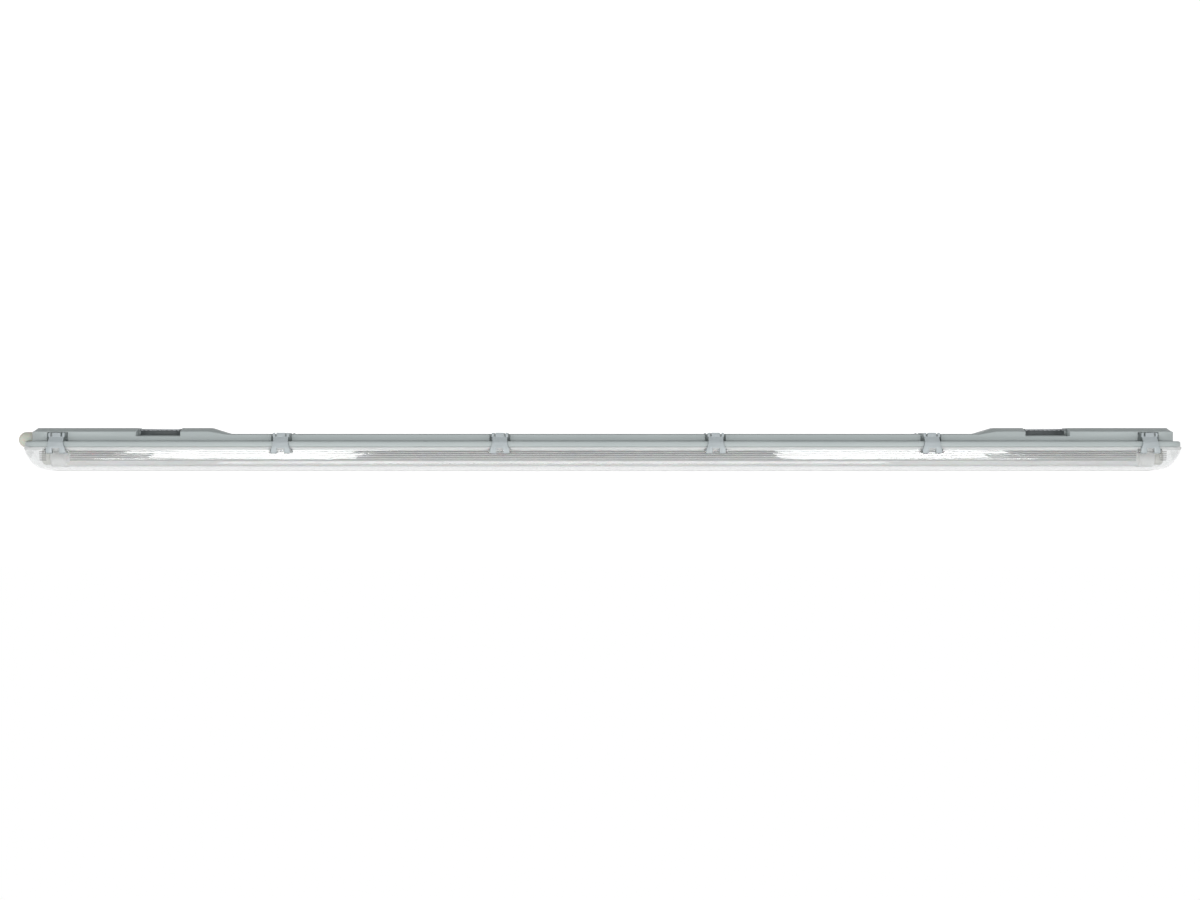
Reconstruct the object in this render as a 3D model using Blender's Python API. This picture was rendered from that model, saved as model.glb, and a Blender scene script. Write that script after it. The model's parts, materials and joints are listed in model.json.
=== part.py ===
"""Vapor tight light fixture, ready to hang from a ceiling.

A long grey housing with two raised ends carries a gear tray, one tube lamp and the
wiring. A clear ribbed diffuser closes it from below on a gasket, held by twelve clips
that turn on pins of the diffuser and hook into pockets of the housing.

Metres, +X along the fixture, +Z up. The origin is the middle of the ceiling plane,
which the crowns of the two raised ends touch. Across the fixture, a distance called
out is measured from the long middle plane towards either side.
"""

import math

import bmesh
import bpy
from mathutils import Vector

MM = 0.001

# Fits and cutting
GAP = 0.3 * MM
OVERRUN = 4 * MM
CORNER_STEPS = 4

# The lamp sets the length of the fixture, and the housing leaves this room beyond its ends
LAMP_HALF_LENGTH = 750 * MM
LAMP_END_ROOM = 24.5 * MM

# Housing: plan sizes of the upper walls, and the rim that stands out round them
WALL_HALF_LENGTH = LAMP_HALF_LENGTH + LAMP_END_ROOM
WALL_HALF_WIDTH = 25 * MM
WALL_CORNER = 14 * MM
WALL = 2.2 * MM
LEDGE_WIDTH = 8 * MM
LEDGE_LENGTH = 8.5 * MM
RIM_CORNER = 19 * MM
RIM_EDGE_RISE = 2.4 * MM
RIM_EDGE_SIDE = 1.0 * MM
RIM_EDGE_END = 2.8 * MM
RIM_EDGE_STEPS = 3

# Housing: heights, from the ceiling plane down
RAISE_HEIGHT = 8 * MM
MID_HEIGHT = 10 * MM
RIM_HEIGHT = 7.5 * MM

# Housing: crowns of the raised ends and of the lower middle
CROWN_HALF_WIDTH = 10 * MM
SHOULDER_DROP = 5 * MM
MID_CROWN_HALF_WIDTH = 21.5 * MM
MID_SHOULDER_DROP = 1.2 * MM
RAISED_LENGTH = 242.5 * MM
RAISED_START = WALL_HALF_LENGTH - RAISED_LENGTH
RAMP_LENGTH = 24 * MM
CROWN_END_INSET = 7.5 * MM
END_DROP = 6.5 * MM
END_SHOULDER_DROP = 0.8 * MM
END_SHARES = ((0.0, 0.0), (0.5, 0.42), (0.8, 0.72), (0.95, 0.88), (1.0, 1.0))

# Housing: the channel under the rim, its gasket, and the tongue that presses on it
SKIRT = 2 * MM
CHANNEL_WIDTH = 6 * MM
GASKET_HEIGHT = 2.5 * MM
TONGUE_WIDTH = 1.8 * MM
TONGUE_LANE = 1.7 * MM

# Housing: clip pockets, with a catch block in the middle of each
CLIP_END_INSET = 38 * MM
CLIP_STATION_SHARES = (-0.5604, -0.1795, 0.1962, 0.572)
POCKET_HALF_LENGTH = 14 * MM
POCKET_DEPTH = 7.5 * MM
POCKET_ROOM = 0.6 * MM
CATCH_HALF_LENGTH = 4.6 * MM
CATCH_HEIGHT = 7.5 * MM

# Housing: bracket notches across the raised ends, each with a grooved spine
NOTCH_INSET = 173.5 * MM
NOTCH_HALF_LENGTH = 30 * MM
NOTCH_DEPTH = 11.3 * MM
SPINE_HALF_WIDTH = 8 * MM
GROOVE_DEPTH = 1.6 * MM
GROOVE_HEIGHT = 1.8 * MM
GROOVE_RISE = 2 * MM

# Housing: cable entry on one end, blank knockout on the other, bosses for the tray
ENTRY_DEPTH = 13.2 * MM
ENTRY_RADIUS = 4.2 * MM
KNOCKOUT_MARK = 0.6 * MM
KNOCKOUT_RING = 0.9 * MM
BOSS_RADIUS = 4 * MM
BOSS_INNER_SHARE = 0.387
BOSS_PAST_NOTCH = 29 * MM
BOSS_OUT = 12 * MM

# Diffuser: flange, and the outer form of the tub by depth below the flange
FLANGE_END_INSET = 1.5 * MM
FLANGE_HEIGHT = 2.8 * MM
TUB_SETBACK = 3.5 * MM
TUB_WALL = 2 * MM
TUB_DEPTH = 30.4 * MM
TUB_CORNER = 19 * MM
TUB_END_TAPER = 50 * MM
TUB_DEPTH_SHARES = (0.0, 0.13, 0.31, 0.49, 0.59, 0.71, 0.82, 0.89, 0.95, 0.985, 1.0)
TUB_END_SHARES = (0.004, 0.01, 0.068, 0.14, 0.17, 0.24, 0.33, 0.43, 0.58, 0.76, 1.0)
TUB_SIDE_SHARES = (0.0, 0.01, 0.03, 0.05, 0.07, 0.13, 0.23, 0.345, 0.51, 0.71, 0.88)

# Diffuser: ribs inside the long walls
RIB_COUNT = 6
RIB_PITCH = 2.9 * MM
RIB_HEIGHT = 0.8 * MM
RIB_START = 2.2 * MM

# Clips, and the pins of the diffuser that they turn on
PIN_RADIUS = 1.2 * MM
HOOK_WALL = 1.35 * MM
PIN_CLEARANCE = 0.35 * MM
CLIP_PLATE = 2.7 * MM
CLIP_STANDOFF = 3.8 * MM
CLIP_RISE = 1.4 * MM
BEND_START = 0.1 * MM
BEND_RISE = 7 * MM
BEND_PLATE = 3 * MM
HOOK_STEPS = 6
HOOK_TO = math.radians(-165)
EAR_OUT = 10.9 * MM
EAR_ROUND = 1 * MM
EAR_HEIGHT = 5.2 * MM
SLOT_FROM = 5.6 * MM
SLOT_TO = 8 * MM
CLIP_HALF_BODY = 9.9 * MM
CLIP_HALF_FOOT = 13 * MM
CLIP_TAPER_STEPS = 3
WINDOW_HALF = 4.8 * MM
WINDOW_HEIGHT = 7.4 * MM
FOOT_ROUND = 1.2 * MM
NOSE_HALF_LENGTH = 4.2 * MM
NOSE_BITE = 1.2 * MM
NOSE_HEIGHT = 2 * MM
NOSE_TIP = 0.9 * MM
NOSE_ROOT = 1 * MM
LUG_GAP = 0.4 * MM
LUG_LENGTH = 2 * MM
LUG_WALL = 1.1 * MM
PIN_SIDES = 8

# Ceiling brackets
BRACKET_SHEET = 1.2 * MM
BRACKET_DROP = 1.2 * MM
BRACKET_END_GAP = 2 * MM
BRACKET_HALF_LENGTH = NOTCH_HALF_LENGTH - BRACKET_END_GAP
BRACKET_HALF_WIDTH = 13 * MM
LIP_HEIGHT = 2.2 * MM
LIP_TEETH = 9
LIP_TOOTH = 3.2 * MM
LIP_NOTCH = 1 * MM
LEG_END_INSET = 1.5 * MM
LEG_HALF_LENGTH = BRACKET_HALF_LENGTH - LEG_END_INSET
BRACKET_SLOT_OUT = 17 * MM
BRACKET_SLOT_LENGTH = 9 * MM
BRACKET_SLOT_WIDTH = 4.6 * MM

# Cable grommet
DOME_RADIUS = 10.7 * MM
DOME_DEPTH = 16 * MM
DOME_STANDOFF = 10.5 * MM
COLLAR_GROOVE = 1.2 * MM
COLLAR_GAP = 1 * MM
GROMMET_LIP = 1.3 * MM
GROMMET_LIP_WIDTH = 1 * MM
GROMMET_BORE = 2.4 * MM
GROMMET_SKIN = 2 * MM
DOME_STEPS = 5
DOME_TIP = math.radians(4)
ROUND_SIDES = 20

# Gear tray, its screws, the earth screw
TRAY_SHEET = 0.8 * MM
TRAY_RAISE = 0.5 * MM
TRAY_END_GAP = 10.5 * MM
TRAY_MARGIN = 1.3 * MM
TRAY_LIP = 3 * MM
SCREW_RADIUS = 1.5 * MM
SCREW_HEAD_RADIUS = 3.4 * MM
SCREW_HEAD = 1.5 * MM
SCREW_LENGTH = 10 * MM
SCREW_SIDES = 10
EARTH_INSET = 98.5 * MM
EARTH_OUT = 6 * MM
EARTH_STUB = 1.8 * MM

# Lamp
LAMP_DEPTH = 40.5 * MM
LAMP_RADIUS = 12.6 * MM
CAP_RADIUS = 13.5 * MM
CAP_LENGTH = 22 * MM
CAP_SOCKET = 4 * MM
CAP_EDGE = 1.2 * MM
PIN_BASE_RADIUS = 9 * MM
PIN_BASE = 1 * MM
LAMP_PIN_LENGTH = 7 * MM
LAMP_PIN_RADIUS = 1.2 * MM
LAMP_PIN_SPREAD = 6.35 * MM
LAMP_SIDES = 24

# Lampholders and rotors
HOLDER_GAP = 1 * MM
HOLDER_LENGTH = 11 * MM
HOLDER_HALF_WIDTH = 10.3 * MM
HOLDER_BACK = 2.7 * MM
ROTOR_RADIUS = 8.2 * MM
POST_SETBACK = 2 * MM
POST_LENGTH = 7 * MM
POST_HALF_WIDTH = 5 * MM
POST_HEIGHT = 4 * MM

# Terminal block and wires
BLOCK_INSET = 54.5 * MM
BLOCK_LENGTH = 20 * MM
BLOCK_PITCH = 6 * MM
BLOCK_BASE = 3.5 * MM
BLOCK_TOWER = 6 * MM
BLOCK_TOWER_HALF_WIDTH = 2.3 * MM
BLOCK_FLANGE = 2 * MM
BLOCK_WELL_RADIUS = 1.4 * MM
BLOCK_WELL_DEPTH = 2.5 * MM
WIRE_RADIUS = 0.9 * MM
WIRE_LEAD = 6 * MM
WIRE_TURN = 7 * MM
WIRE_LANE = 13 * MM
WIRE_BACK = 8 * MM
WIRE_STEPS = 6

# Levels and half sizes that follow from the sizes above
MID_TOP = -RAISE_HEIGHT
LEDGE = MID_TOP - MID_HEIGHT
RIM_BOTTOM = LEDGE - RIM_HEIGHT
RIM_HALF_LENGTH = WALL_HALF_LENGTH + LEDGE_LENGTH
RIM_HALF_WIDTH = WALL_HALF_WIDTH + LEDGE_WIDTH
CHANNEL_TOP = LEDGE - WALL
FLANGE_TOP = RIM_BOTTOM - GAP
FLANGE_BOTTOM = FLANGE_TOP - FLANGE_HEIGHT
FLANGE_HALF_LENGTH = RIM_HALF_LENGTH + FLANGE_END_INSET
HOOK_INNER = PIN_RADIUS + GAP
HOOK_OUTER = HOOK_INNER + HOOK_WALL
PLATE_INNER = RIM_HALF_WIDTH + GAP
PLATE_OUTER = PLATE_INNER + CLIP_PLATE
PIN_OUT = PLATE_OUTER - HOOK_OUTER
PIN_LEVEL = FLANGE_BOTTOM - PIN_CLEARANCE - HOOK_OUTER
CATCH_TOP = LEDGE + CATCH_HEIGHT
GASKET_TOP = CHANNEL_TOP - GAP
GASKET_BOTTOM = GASKET_TOP - GASKET_HEIGHT
TONGUE_TOP = GASKET_BOTTOM - GAP
TRAY_BOTTOM = RIM_BOTTOM + TRAY_RAISE
TRAY_TOP = TRAY_BOTTOM + TRAY_SHEET
TRAY_HALF_LENGTH = WALL_HALF_LENGTH - TRAY_END_GAP
TRAY_HALF_WIDTH = WALL_HALF_WIDTH - WALL - TRAY_MARGIN
LAMP_LEVEL = -LAMP_DEPTH
HOLDER_START = LAMP_HALF_LENGTH + HOLDER_GAP
HOLDER_END = HOLDER_START + HOLDER_LENGTH
POST_START = HOLDER_START + POST_SETBACK
SPINE_TOP = -BRACKET_DROP - BRACKET_SHEET - GAP
WIRE_LEVEL = TRAY_TOP + GAP + WIRE_RADIUS
CLIP_END = WALL_HALF_LENGTH - CLIP_END_INSET
CLIP_STATIONS = (-CLIP_END, *(share * WALL_HALF_LENGTH for share in CLIP_STATION_SHARES), CLIP_END)
NOTCH_CENTRE = WALL_HALF_LENGTH - NOTCH_INSET
BOSS_INNER = BOSS_INNER_SHARE * WALL_HALF_LENGTH
BOSS_OUTER = NOTCH_CENTRE + NOTCH_HALF_LENGTH + BOSS_PAST_NOTCH
EARTH_X = EARTH_INSET - WALL_HALF_LENGTH
BLOCK_START = BLOCK_INSET - WALL_HALF_LENGTH
SIDES = (-1, 1)


def clear_scene():
    """Remove whatever the new file holds."""
    for item in list(bpy.data.objects):
        bpy.data.objects.remove(item, do_unlink=True)


def material(name, colour, roughness, metallic=0.0, alpha=1.0):
    """A Principled material of one colour."""
    finish = bpy.data.materials.new(name)
    finish.use_nodes = True
    shader = finish.node_tree.nodes["Principled BSDF"]
    shader.inputs["Base Color"].default_value = (*colour, 1.0)
    shader.inputs["Roughness"].default_value = roughness
    shader.inputs["Metallic"].default_value = metallic
    shader.inputs["Alpha"].default_value = alpha
    finish.diffuse_color = (*colour, alpha)
    return finish


def add_object(name, mesh, finish=None, parent=None):
    """Put a mesh into the scene; a piece without a finish is a cutter."""
    mesh.shade_smooth()
    mesh.set_sharp_from_angle(angle=math.radians(35))
    piece = bpy.data.objects.new(name, mesh)
    bpy.context.scene.collection.objects.link(piece)
    piece.parent = parent
    if finish is None:
        piece.hide_render = True
        piece.display_type = "WIRE"
    else:
        mesh.materials.append(finish)
    return piece


def close_mesh(shape, name):
    """Turn all faces outwards and make a mesh of a bmesh."""
    bmesh.ops.recalc_face_normals(shape, faces=shape.faces)
    mesh = bpy.data.meshes.new(name)
    shape.to_mesh(mesh)
    shape.free()
    return mesh


def add_rings(shape, rings, joined=False):
    """Skin a chain of rings with equal counts; an open chain gets end caps."""
    loops = [[shape.verts.new(point) for point in ring] for ring in rings]
    pairs = list(zip(loops, loops[1:]))
    if joined:
        pairs.append((loops[-1], loops[0]))
    else:
        shape.faces.new(loops[0])
        shape.faces.new(loops[-1])
    for first, second in pairs:
        for index, start in enumerate(first):
            after = (index + 1) % len(first)
            shape.faces.new((start, first[after], second[after], second[index]))


def ring_mesh(name, rings, joined=False):
    """A mesh from one chain of rings."""
    shape = bmesh.new()
    add_rings(shape, rings, joined)
    return close_mesh(shape, name)


def along_x(outline, x):
    """An outline of (y, z) points at a place along the fixture."""
    return [Vector((x, y, z)) for y, z in outline]


def along_y(outline, y):
    """An outline of (x, z) points at a place across the fixture."""
    return [Vector((x, y, z)) for x, z in outline]


def along_z(outline, z):
    """An outline of (x, y) points at a level."""
    return [Vector((x, y, z)) for x, y in outline]


def add_block(shape, low, high):
    """A box between two corners."""
    outline = ((low[0], low[1]), (high[0], low[1]), (high[0], high[1]), (low[0], high[1]))
    add_rings(shape, [along_z(outline, low[2]), along_z(outline, high[2])])


def circle(radius, sides, centre=(0, 0)):
    """Points round a circle."""
    turns = [2 * math.pi * index / sides for index in range(sides)]
    return [(centre[0] + radius * math.cos(turn), centre[1] + radius * math.sin(turn)) for turn in turns]


def arc(centre, radius, start, stop, steps):
    """Points along an arc, both ends included."""
    turns = [start + (stop - start) * index / steps for index in range(steps + 1)]
    return [(centre[0] + radius * math.cos(turn), centre[1] + radius * math.sin(turn)) for turn in turns]


def rounded_plan(half_length, half_width, corner):
    """A rounded rectangle in plan, with as many points whatever its corners."""
    corner = min(corner, half_width, half_length)
    plan = []
    for quarter, (side_x, side_y) in enumerate(((1, 1), (-1, 1), (-1, -1), (1, -1))):
        centre = (side_x * (half_length - corner), side_y * (half_width - corner))
        start = quarter * math.pi / 2
        plan += arc(centre, corner, start, start + math.pi / 2, CORNER_STEPS)
    return plan


def join_modifier(piece, other, operation):
    """Cut, join or intersect a piece with another one."""
    step = piece.modifiers.new(operation.lower(), "BOOLEAN")
    step.operation = operation
    step.object = other
    step.solver = "EXACT"


def cutter(name, shape):
    """A hidden object that shapes others."""
    return add_object(name, close_mesh(shape, name))


def baked_mesh(piece, name):
    """The mesh of a piece with its modifiers applied."""
    graph = bpy.context.evaluated_depsgraph_get()
    return bpy.data.meshes.new_from_object(piece.evaluated_get(graph), depsgraph=graph).copy()


def blend(low, high, share):
    """A value part of the way from one to another."""
    return low + (high - low) * share


def corner_inset(place, half_length, corner):
    """How far a rounded plan corner pulls a side in at a place near the end."""
    past = place - (half_length - corner)
    if past <= 0:
        return 0
    return corner - math.sqrt(max(corner ** 2 - past ** 2, 0))


def housing_section(place, crown, crown_half, shoulder, inset, base):
    """One cross section of the upper housing, inset by a wall thickness."""
    half_length = WALL_HALF_LENGTH - inset
    pulled = corner_inset(abs(place), half_length, WALL_CORNER - inset)
    wall = WALL_HALF_WIDTH - inset - pulled
    top = min(crown_half, wall * crown_half / (WALL_HALF_WIDTH - inset))
    outline = ((top, crown - inset), (wall, shoulder - inset), (wall, base))
    mirrored = tuple((-y, z) for y, z in reversed(outline))
    return along_x(outline + mirrored, place)


def housing_rings(inset, base):
    """Cross sections of the upper housing from one end to the other."""
    half_length = WALL_HALF_LENGTH - inset
    crown_end = half_length - CROWN_END_INSET
    crown_half = CROWN_HALF_WIDTH - inset / 2
    half = [
        (RAISED_START - RAMP_LENGTH, MID_TOP, MID_CROWN_HALF_WIDTH - inset / 2, MID_TOP - MID_SHOULDER_DROP),
        (RAISED_START, 0, crown_half, -SHOULDER_DROP),
        (WALL_HALF_LENGTH - WALL_CORNER, 0, crown_half, -SHOULDER_DROP),
    ]
    for along, down in END_SHARES:
        place = crown_end + CROWN_END_INSET * along
        crown = -END_DROP * down
        shoulder = min(-SHOULDER_DROP, crown - END_SHOULDER_DROP)
        half.append((place, crown, crown_half, shoulder))
    stations = [(-place, *rest) for place, *rest in reversed(half)] + half
    return [housing_section(*station, inset, base) for station in stations]


def rim_rings():
    """Levels of the rim, with its rounded upper edge."""
    levels = [(RIM_BOTTOM, 0), (LEDGE - RIM_EDGE_RISE, 0)]
    for index in range(1, RIM_EDGE_STEPS + 1):
        turn = index / RIM_EDGE_STEPS * math.pi / 2
        levels.append((LEDGE - RIM_EDGE_RISE * (1 - math.sin(turn)), 1 - math.cos(turn)))
    rings = []
    for level, pull in levels:
        half_length = RIM_HALF_LENGTH - RIM_EDGE_END * pull
        half_width = RIM_HALF_WIDTH - RIM_EDGE_SIDE * pull
        rings.append(along_z(rounded_plan(half_length, half_width, RIM_CORNER), level))
    return rings


def channel_rings(margin, top, bottom):
    """A closed loop that fills the channel under the rim, less a margin."""
    outer = (RIM_HALF_LENGTH - SKIRT - margin, RIM_HALF_WIDTH - SKIRT - margin)
    width = CHANNEL_WIDTH - 2 * margin
    inner = (outer[0] - width, outer[1] - width)
    corner = RIM_CORNER - SKIRT - margin
    plans = (rounded_plan(*outer, corner), rounded_plan(*inner, corner - width))
    chain = ((plans[0], bottom), (plans[0], top), (plans[1], top), (plans[1], bottom))
    return [along_z(plan, level) for plan, level in chain]


def add_upright_block(shape, low, high, near, far):
    """A box given by two (x, z) corners and its reach across the fixture."""
    outline = ((low[0], low[1]), (high[0], low[1]), (high[0], high[1]), (low[0], high[1]))
    add_rings(shape, [along_y(outline, near), along_y(outline, far)])


def cavity_cutter():
    """The hollow of the housing, less the walls round pockets and notches and the bosses."""
    rings = housing_rings(WALL, RIM_BOTTOM - OVERRUN)
    hollow = add_object("cavity_cutter", ring_mesh("cavity_cutter", rings))
    shape = bmesh.new()
    outside = WALL_HALF_WIDTH + OVERRUN
    reach = POCKET_HALF_LENGTH + WALL
    for station in CLIP_STATIONS:
        for side in SIDES:
            add_upright_block(shape, (station - reach, LEDGE - WALL), (station + reach, OVERRUN),
                              side * (WALL_HALF_WIDTH - POCKET_DEPTH - WALL), side * outside)
    reach = NOTCH_HALF_LENGTH + WALL
    for end in SIDES:
        middle = end * NOTCH_CENTRE
        add_upright_block(shape, (middle - reach, -NOTCH_DEPTH - WALL), (middle + reach, OVERRUN),
                          -outside, outside)
    for x, y in screw_places():
        outline = circle(BOSS_RADIUS, SCREW_SIDES, (x, y))
        add_rings(shape, [along_z(outline, TRAY_TOP + GAP), along_z(outline, OVERRUN)])
    join_modifier(hollow, cutter("wall_keeper", shape), "DIFFERENCE")
    return hollow


def screw_places():
    """Where the tray is screwed to the bosses of the housing, in plan."""
    return [(end * out, end * side * BOSS_OUT) for end in SIDES
            for out, side in ((BOSS_INNER, 1), (BOSS_OUTER, -1))]


def pocket_cutter():
    """Twelve clip pockets, each left with a catch block in its middle; the end ones have a roof."""
    shape = bmesh.new()
    for station in CLIP_STATIONS:
        roof = MID_TOP + CLIP_RISE + POCKET_ROOM if abs(station) > RAISED_START else OVERRUN
        outline = (
            (-POCKET_HALF_LENGTH, LEDGE), (-CATCH_HALF_LENGTH, LEDGE), (-CATCH_HALF_LENGTH, CATCH_TOP),
            (CATCH_HALF_LENGTH, CATCH_TOP), (CATCH_HALF_LENGTH, LEDGE), (POCKET_HALF_LENGTH, LEDGE),
            (POCKET_HALF_LENGTH, roof), (-POCKET_HALF_LENGTH, roof),
        )
        placed = [(station + x, z) for x, z in outline]
        for side in SIDES:
            add_rings(shape, [along_y(placed, side * (WALL_HALF_WIDTH - POCKET_DEPTH)),
                              along_y(placed, side * (WALL_HALF_WIDTH + OVERRUN))])
    return cutter("pocket_cutter", shape)


def notch_cutter():
    """Two notches right across, which leave a grooved spine for the bracket's legs."""
    wide = WALL_HALF_WIDTH + OVERRUN
    floor = -NOTCH_DEPTH
    core = SPINE_HALF_WIDTH - GROOVE_DEPTH
    groove = floor + GROOVE_RISE
    side, ceiling = SPINE_HALF_WIDTH, groove + GROOVE_HEIGHT
    half = ((wide, OVERRUN), (wide, floor), (side, floor), (side, groove), (core, groove), (core, ceiling),
            (side, ceiling), (side, SPINE_TOP))
    outline = half + tuple((-y, z) for y, z in reversed(half))
    shape = bmesh.new()
    for end in SIDES:
        start = end * NOTCH_CENTRE - NOTCH_HALF_LENGTH
        add_rings(shape, [along_x(outline, start), along_x(outline, start + 2 * NOTCH_HALF_LENGTH)])
    return cutter("notch_cutter", shape)


def opening_cutter():
    """The cable entry, the ring of the blank knockout, and the pilot holes of the bosses."""
    shape = bmesh.new()
    entry = circle(ENTRY_RADIUS, ROUND_SIDES, (0, -ENTRY_DEPTH))
    outside = -WALL_HALF_LENGTH - OVERRUN
    add_rings(shape, [along_x(entry, outside), along_x(entry, outside + WALL + 2 * OVERRUN)])
    inner = circle(ENTRY_RADIUS - KNOCKOUT_RING, ROUND_SIDES, (0, -ENTRY_DEPTH))
    low, high = WALL_HALF_LENGTH - KNOCKOUT_MARK, WALL_HALF_LENGTH + OVERRUN
    ring = [along_x(entry, low), along_x(entry, high), along_x(inner, high), along_x(inner, low)]
    add_rings(shape, ring, joined=True)
    for x, y in screw_places():
        pilot = circle(SCREW_RADIUS + GAP, SCREW_SIDES, (x, y))
        top = TRAY_BOTTOM + SCREW_LENGTH
        add_rings(shape, [along_z(pilot, RIM_BOTTOM), along_z(pilot, top)])
    return cutter("opening_cutter", shape)


def make_housing(finish):
    """Upper loft and rim in one, then the hollow, channel, pockets, notches and holes."""
    body = add_object("housing", ring_mesh("housing", housing_rings(0, LEDGE - WALL / 2)), finish)
    join_modifier(body, add_object("rim", ring_mesh("rim", rim_rings())), "UNION")
    join_modifier(body, cavity_cutter(), "DIFFERENCE")
    channel = channel_rings(0, CHANNEL_TOP, RIM_BOTTOM - OVERRUN)
    groove = add_object("channel_cutter", ring_mesh("channel_cutter", channel, True))
    for tool in (groove, pocket_cutter(), notch_cutter(), opening_cutter()):
        join_modifier(body, tool, "DIFFERENCE")
    return body


def make_gasket(finish):
    """A soft ring in the channel under the rim."""
    rings = channel_rings(GAP, GASKET_TOP, GASKET_BOTTOM)
    return add_object("gasket", ring_mesh("gasket", rings, True), finish)


def tub_levels():
    """Outer (level, half length, half width) of the tub from the flange down."""
    start = RIM_HALF_WIDTH - TUB_SETBACK
    shares = zip(TUB_DEPTH_SHARES, TUB_END_SHARES, TUB_SIDE_SHARES)
    return [(FLANGE_BOTTOM - TUB_DEPTH * down, FLANGE_HALF_LENGTH - TUB_END_TAPER * end, start * (1 - side))
            for down, end, side in shares]


def inner_levels():
    """The tub's levels moved in by the wall, square to the surface."""
    outer = tub_levels()
    inner = []
    for index, (level, half_length, half_width) in enumerate(outer):
        before = outer[max(index - 1, 0)]
        after = outer[min(index + 1, len(outer) - 1)]
        fall, side, end = before[0] - after[0], before[2] - after[2], before[1] - after[1]
        side_run, end_run = math.hypot(fall, side), math.hypot(fall, end)
        inner.append((level + TUB_WALL * side / side_run,
                      half_length - TUB_WALL * fall / end_run,
                      half_width - TUB_WALL * fall / side_run))
    return inner


def level_at(levels, height):
    """Half length and half width of a run of levels at a height."""
    for upper, lower in zip(levels, levels[1:]):
        if lower[0] <= height <= upper[0]:
            share = (upper[0] - height) / (upper[0] - lower[0])
            return blend(upper[1], lower[1], share), blend(upper[2], lower[2], share)
    return levels[-1][1:]


def ribbed_levels():
    """Inner levels of the tub, with a run of ribs along the upper part of the long walls."""
    levels = inner_levels()
    top = FLANGE_BOTTOM - RIB_START
    ribs = []
    for index in range(2 * RIB_COUNT + 1):
        height = top - RIB_PITCH * index / 2
        half_length, half_width = level_at(levels, height)
        ribs.append((height, half_length, half_width - RIB_HEIGHT * (index % 2)))
    above = [level for level in levels if level[0] > top]
    below = [level for level in levels if level[0] < ribs[-1][0]]
    return above + ribs + below


def diffuser_rings():
    """The chain of plans from the tub's inside floor, over tongue and flange, to its underside."""
    corner = TUB_CORNER - TUB_WALL
    rings = [along_z(rounded_plan(length, width, corner), level)
             for level, length, width in reversed(ribbed_levels())]
    tongue = (RIM_HALF_LENGTH - SKIRT - TONGUE_LANE, RIM_HALF_WIDTH - SKIRT - TONGUE_LANE)
    tongue_corner = RIM_CORNER - SKIRT - TONGUE_LANE
    outer = rounded_plan(*tongue, tongue_corner)
    inner = rounded_plan(tongue[0] - TONGUE_WIDTH, tongue[1] - TONGUE_WIDTH, tongue_corner - TONGUE_WIDTH)
    flange = rounded_plan(FLANGE_HALF_LENGTH, RIM_HALF_WIDTH, RIM_CORNER)
    rings += [along_z(inner, blend(FLANGE_BOTTOM, FLANGE_TOP, 1 / 2)), along_z(inner, TONGUE_TOP),
              along_z(outer, TONGUE_TOP), along_z(outer, FLANGE_TOP), along_z(flange, FLANGE_TOP),
              along_z(flange, FLANGE_BOTTOM)]
    rings += [along_z(rounded_plan(length, width, TUB_CORNER), level)
              for level, length, width in tub_levels()]
    return rings


def lug_outline(side):
    """The side view of a lug round the pin, with as many points as the pin."""
    near = RIM_HALF_WIDTH - TUB_SETBACK - TUB_WALL / 2
    far = PIN_OUT + PIN_RADIUS + LUG_WALL
    low = PIN_LEVEL - PIN_RADIUS - LUG_WALL
    high = blend(FLANGE_BOTTOM, FLANGE_TOP, 1 / 2)
    round_off = PIN_RADIUS + LUG_WALL / 2
    left, right, lower, upper = near + round_off, far - round_off, low + round_off, high - round_off
    points = []
    for quarter, (out, up) in enumerate(((right, upper), (left, upper), (left, lower), (right, lower))):
        start = quarter * math.pi / 2
        points += arc((out, up), round_off, start, start + math.pi / 2, PIN_SIDES // 4 - 1)
    return [(side * out, up) for out, up in points]


def pin_outline(side):
    """The pin's round section, its points in step with the lug's."""
    step = 2 * math.pi / PIN_SIDES
    turns = [step * (index + 1 / 2) for index in range(PIN_SIDES)]
    return [(side * (PIN_OUT + PIN_RADIUS * math.cos(turn)), PIN_LEVEL + PIN_RADIUS * math.sin(turn))
            for turn in turns]


def make_diffuser(finish):
    """The clear tub with its flange, tongue and ribs, and a lugged pin at every clip."""
    tub = add_object("diffuser", ring_mesh("diffuser", diffuser_rings()), finish)
    shape = bmesh.new()
    inner = CLIP_HALF_FOOT + LUG_GAP
    outer = inner + LUG_LENGTH
    for station in CLIP_STATIONS:
        for side in SIDES:
            lug, pin = lug_outline(side), pin_outline(side)
            chain = ((lug, -outer), (lug, -inner), (pin, -inner), (pin, inner), (lug, inner), (lug, outer))
            add_rings(shape, [along_x(outline, station + x) for outline, x in chain])
    join_modifier(tub, cutter("pin_lugs", shape), "UNION")
    return tub


def clip_side_outline():
    """Side view of a clip about its pin: plate, bend over the ledge, and hook round the pin."""
    inner_low, inner_high = PLATE_INNER - PIN_OUT, WALL_HALF_WIDTH + CLIP_STANDOFF - PIN_OUT
    outer_low, outer_high = PLATE_OUTER - PIN_OUT, inner_high + CLIP_PLATE
    top = MID_TOP + CLIP_RISE - PIN_LEVEL + OVERRUN
    bend = LEDGE + BEND_START - PIN_LEVEL
    slope = BEND_RISE / (inner_low - inner_high)
    outline = [(inner_high, top), (outer_high, top)]
    outline += [(out, bend + BEND_PLATE + slope * (inner_low - out)) for out in (outer_high, outer_low)]
    outline += arc((0, 0), HOOK_OUTER, 0, HOOK_TO, HOOK_STEPS)
    outline += arc((0, 0), HOOK_INNER, HOOK_TO, math.acos(inner_low / HOOK_INNER), HOOK_STEPS)
    outline += [(inner_low, bend), (inner_high, bend + BEND_RISE)]
    return [(-out, up) for out, up in outline]


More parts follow.
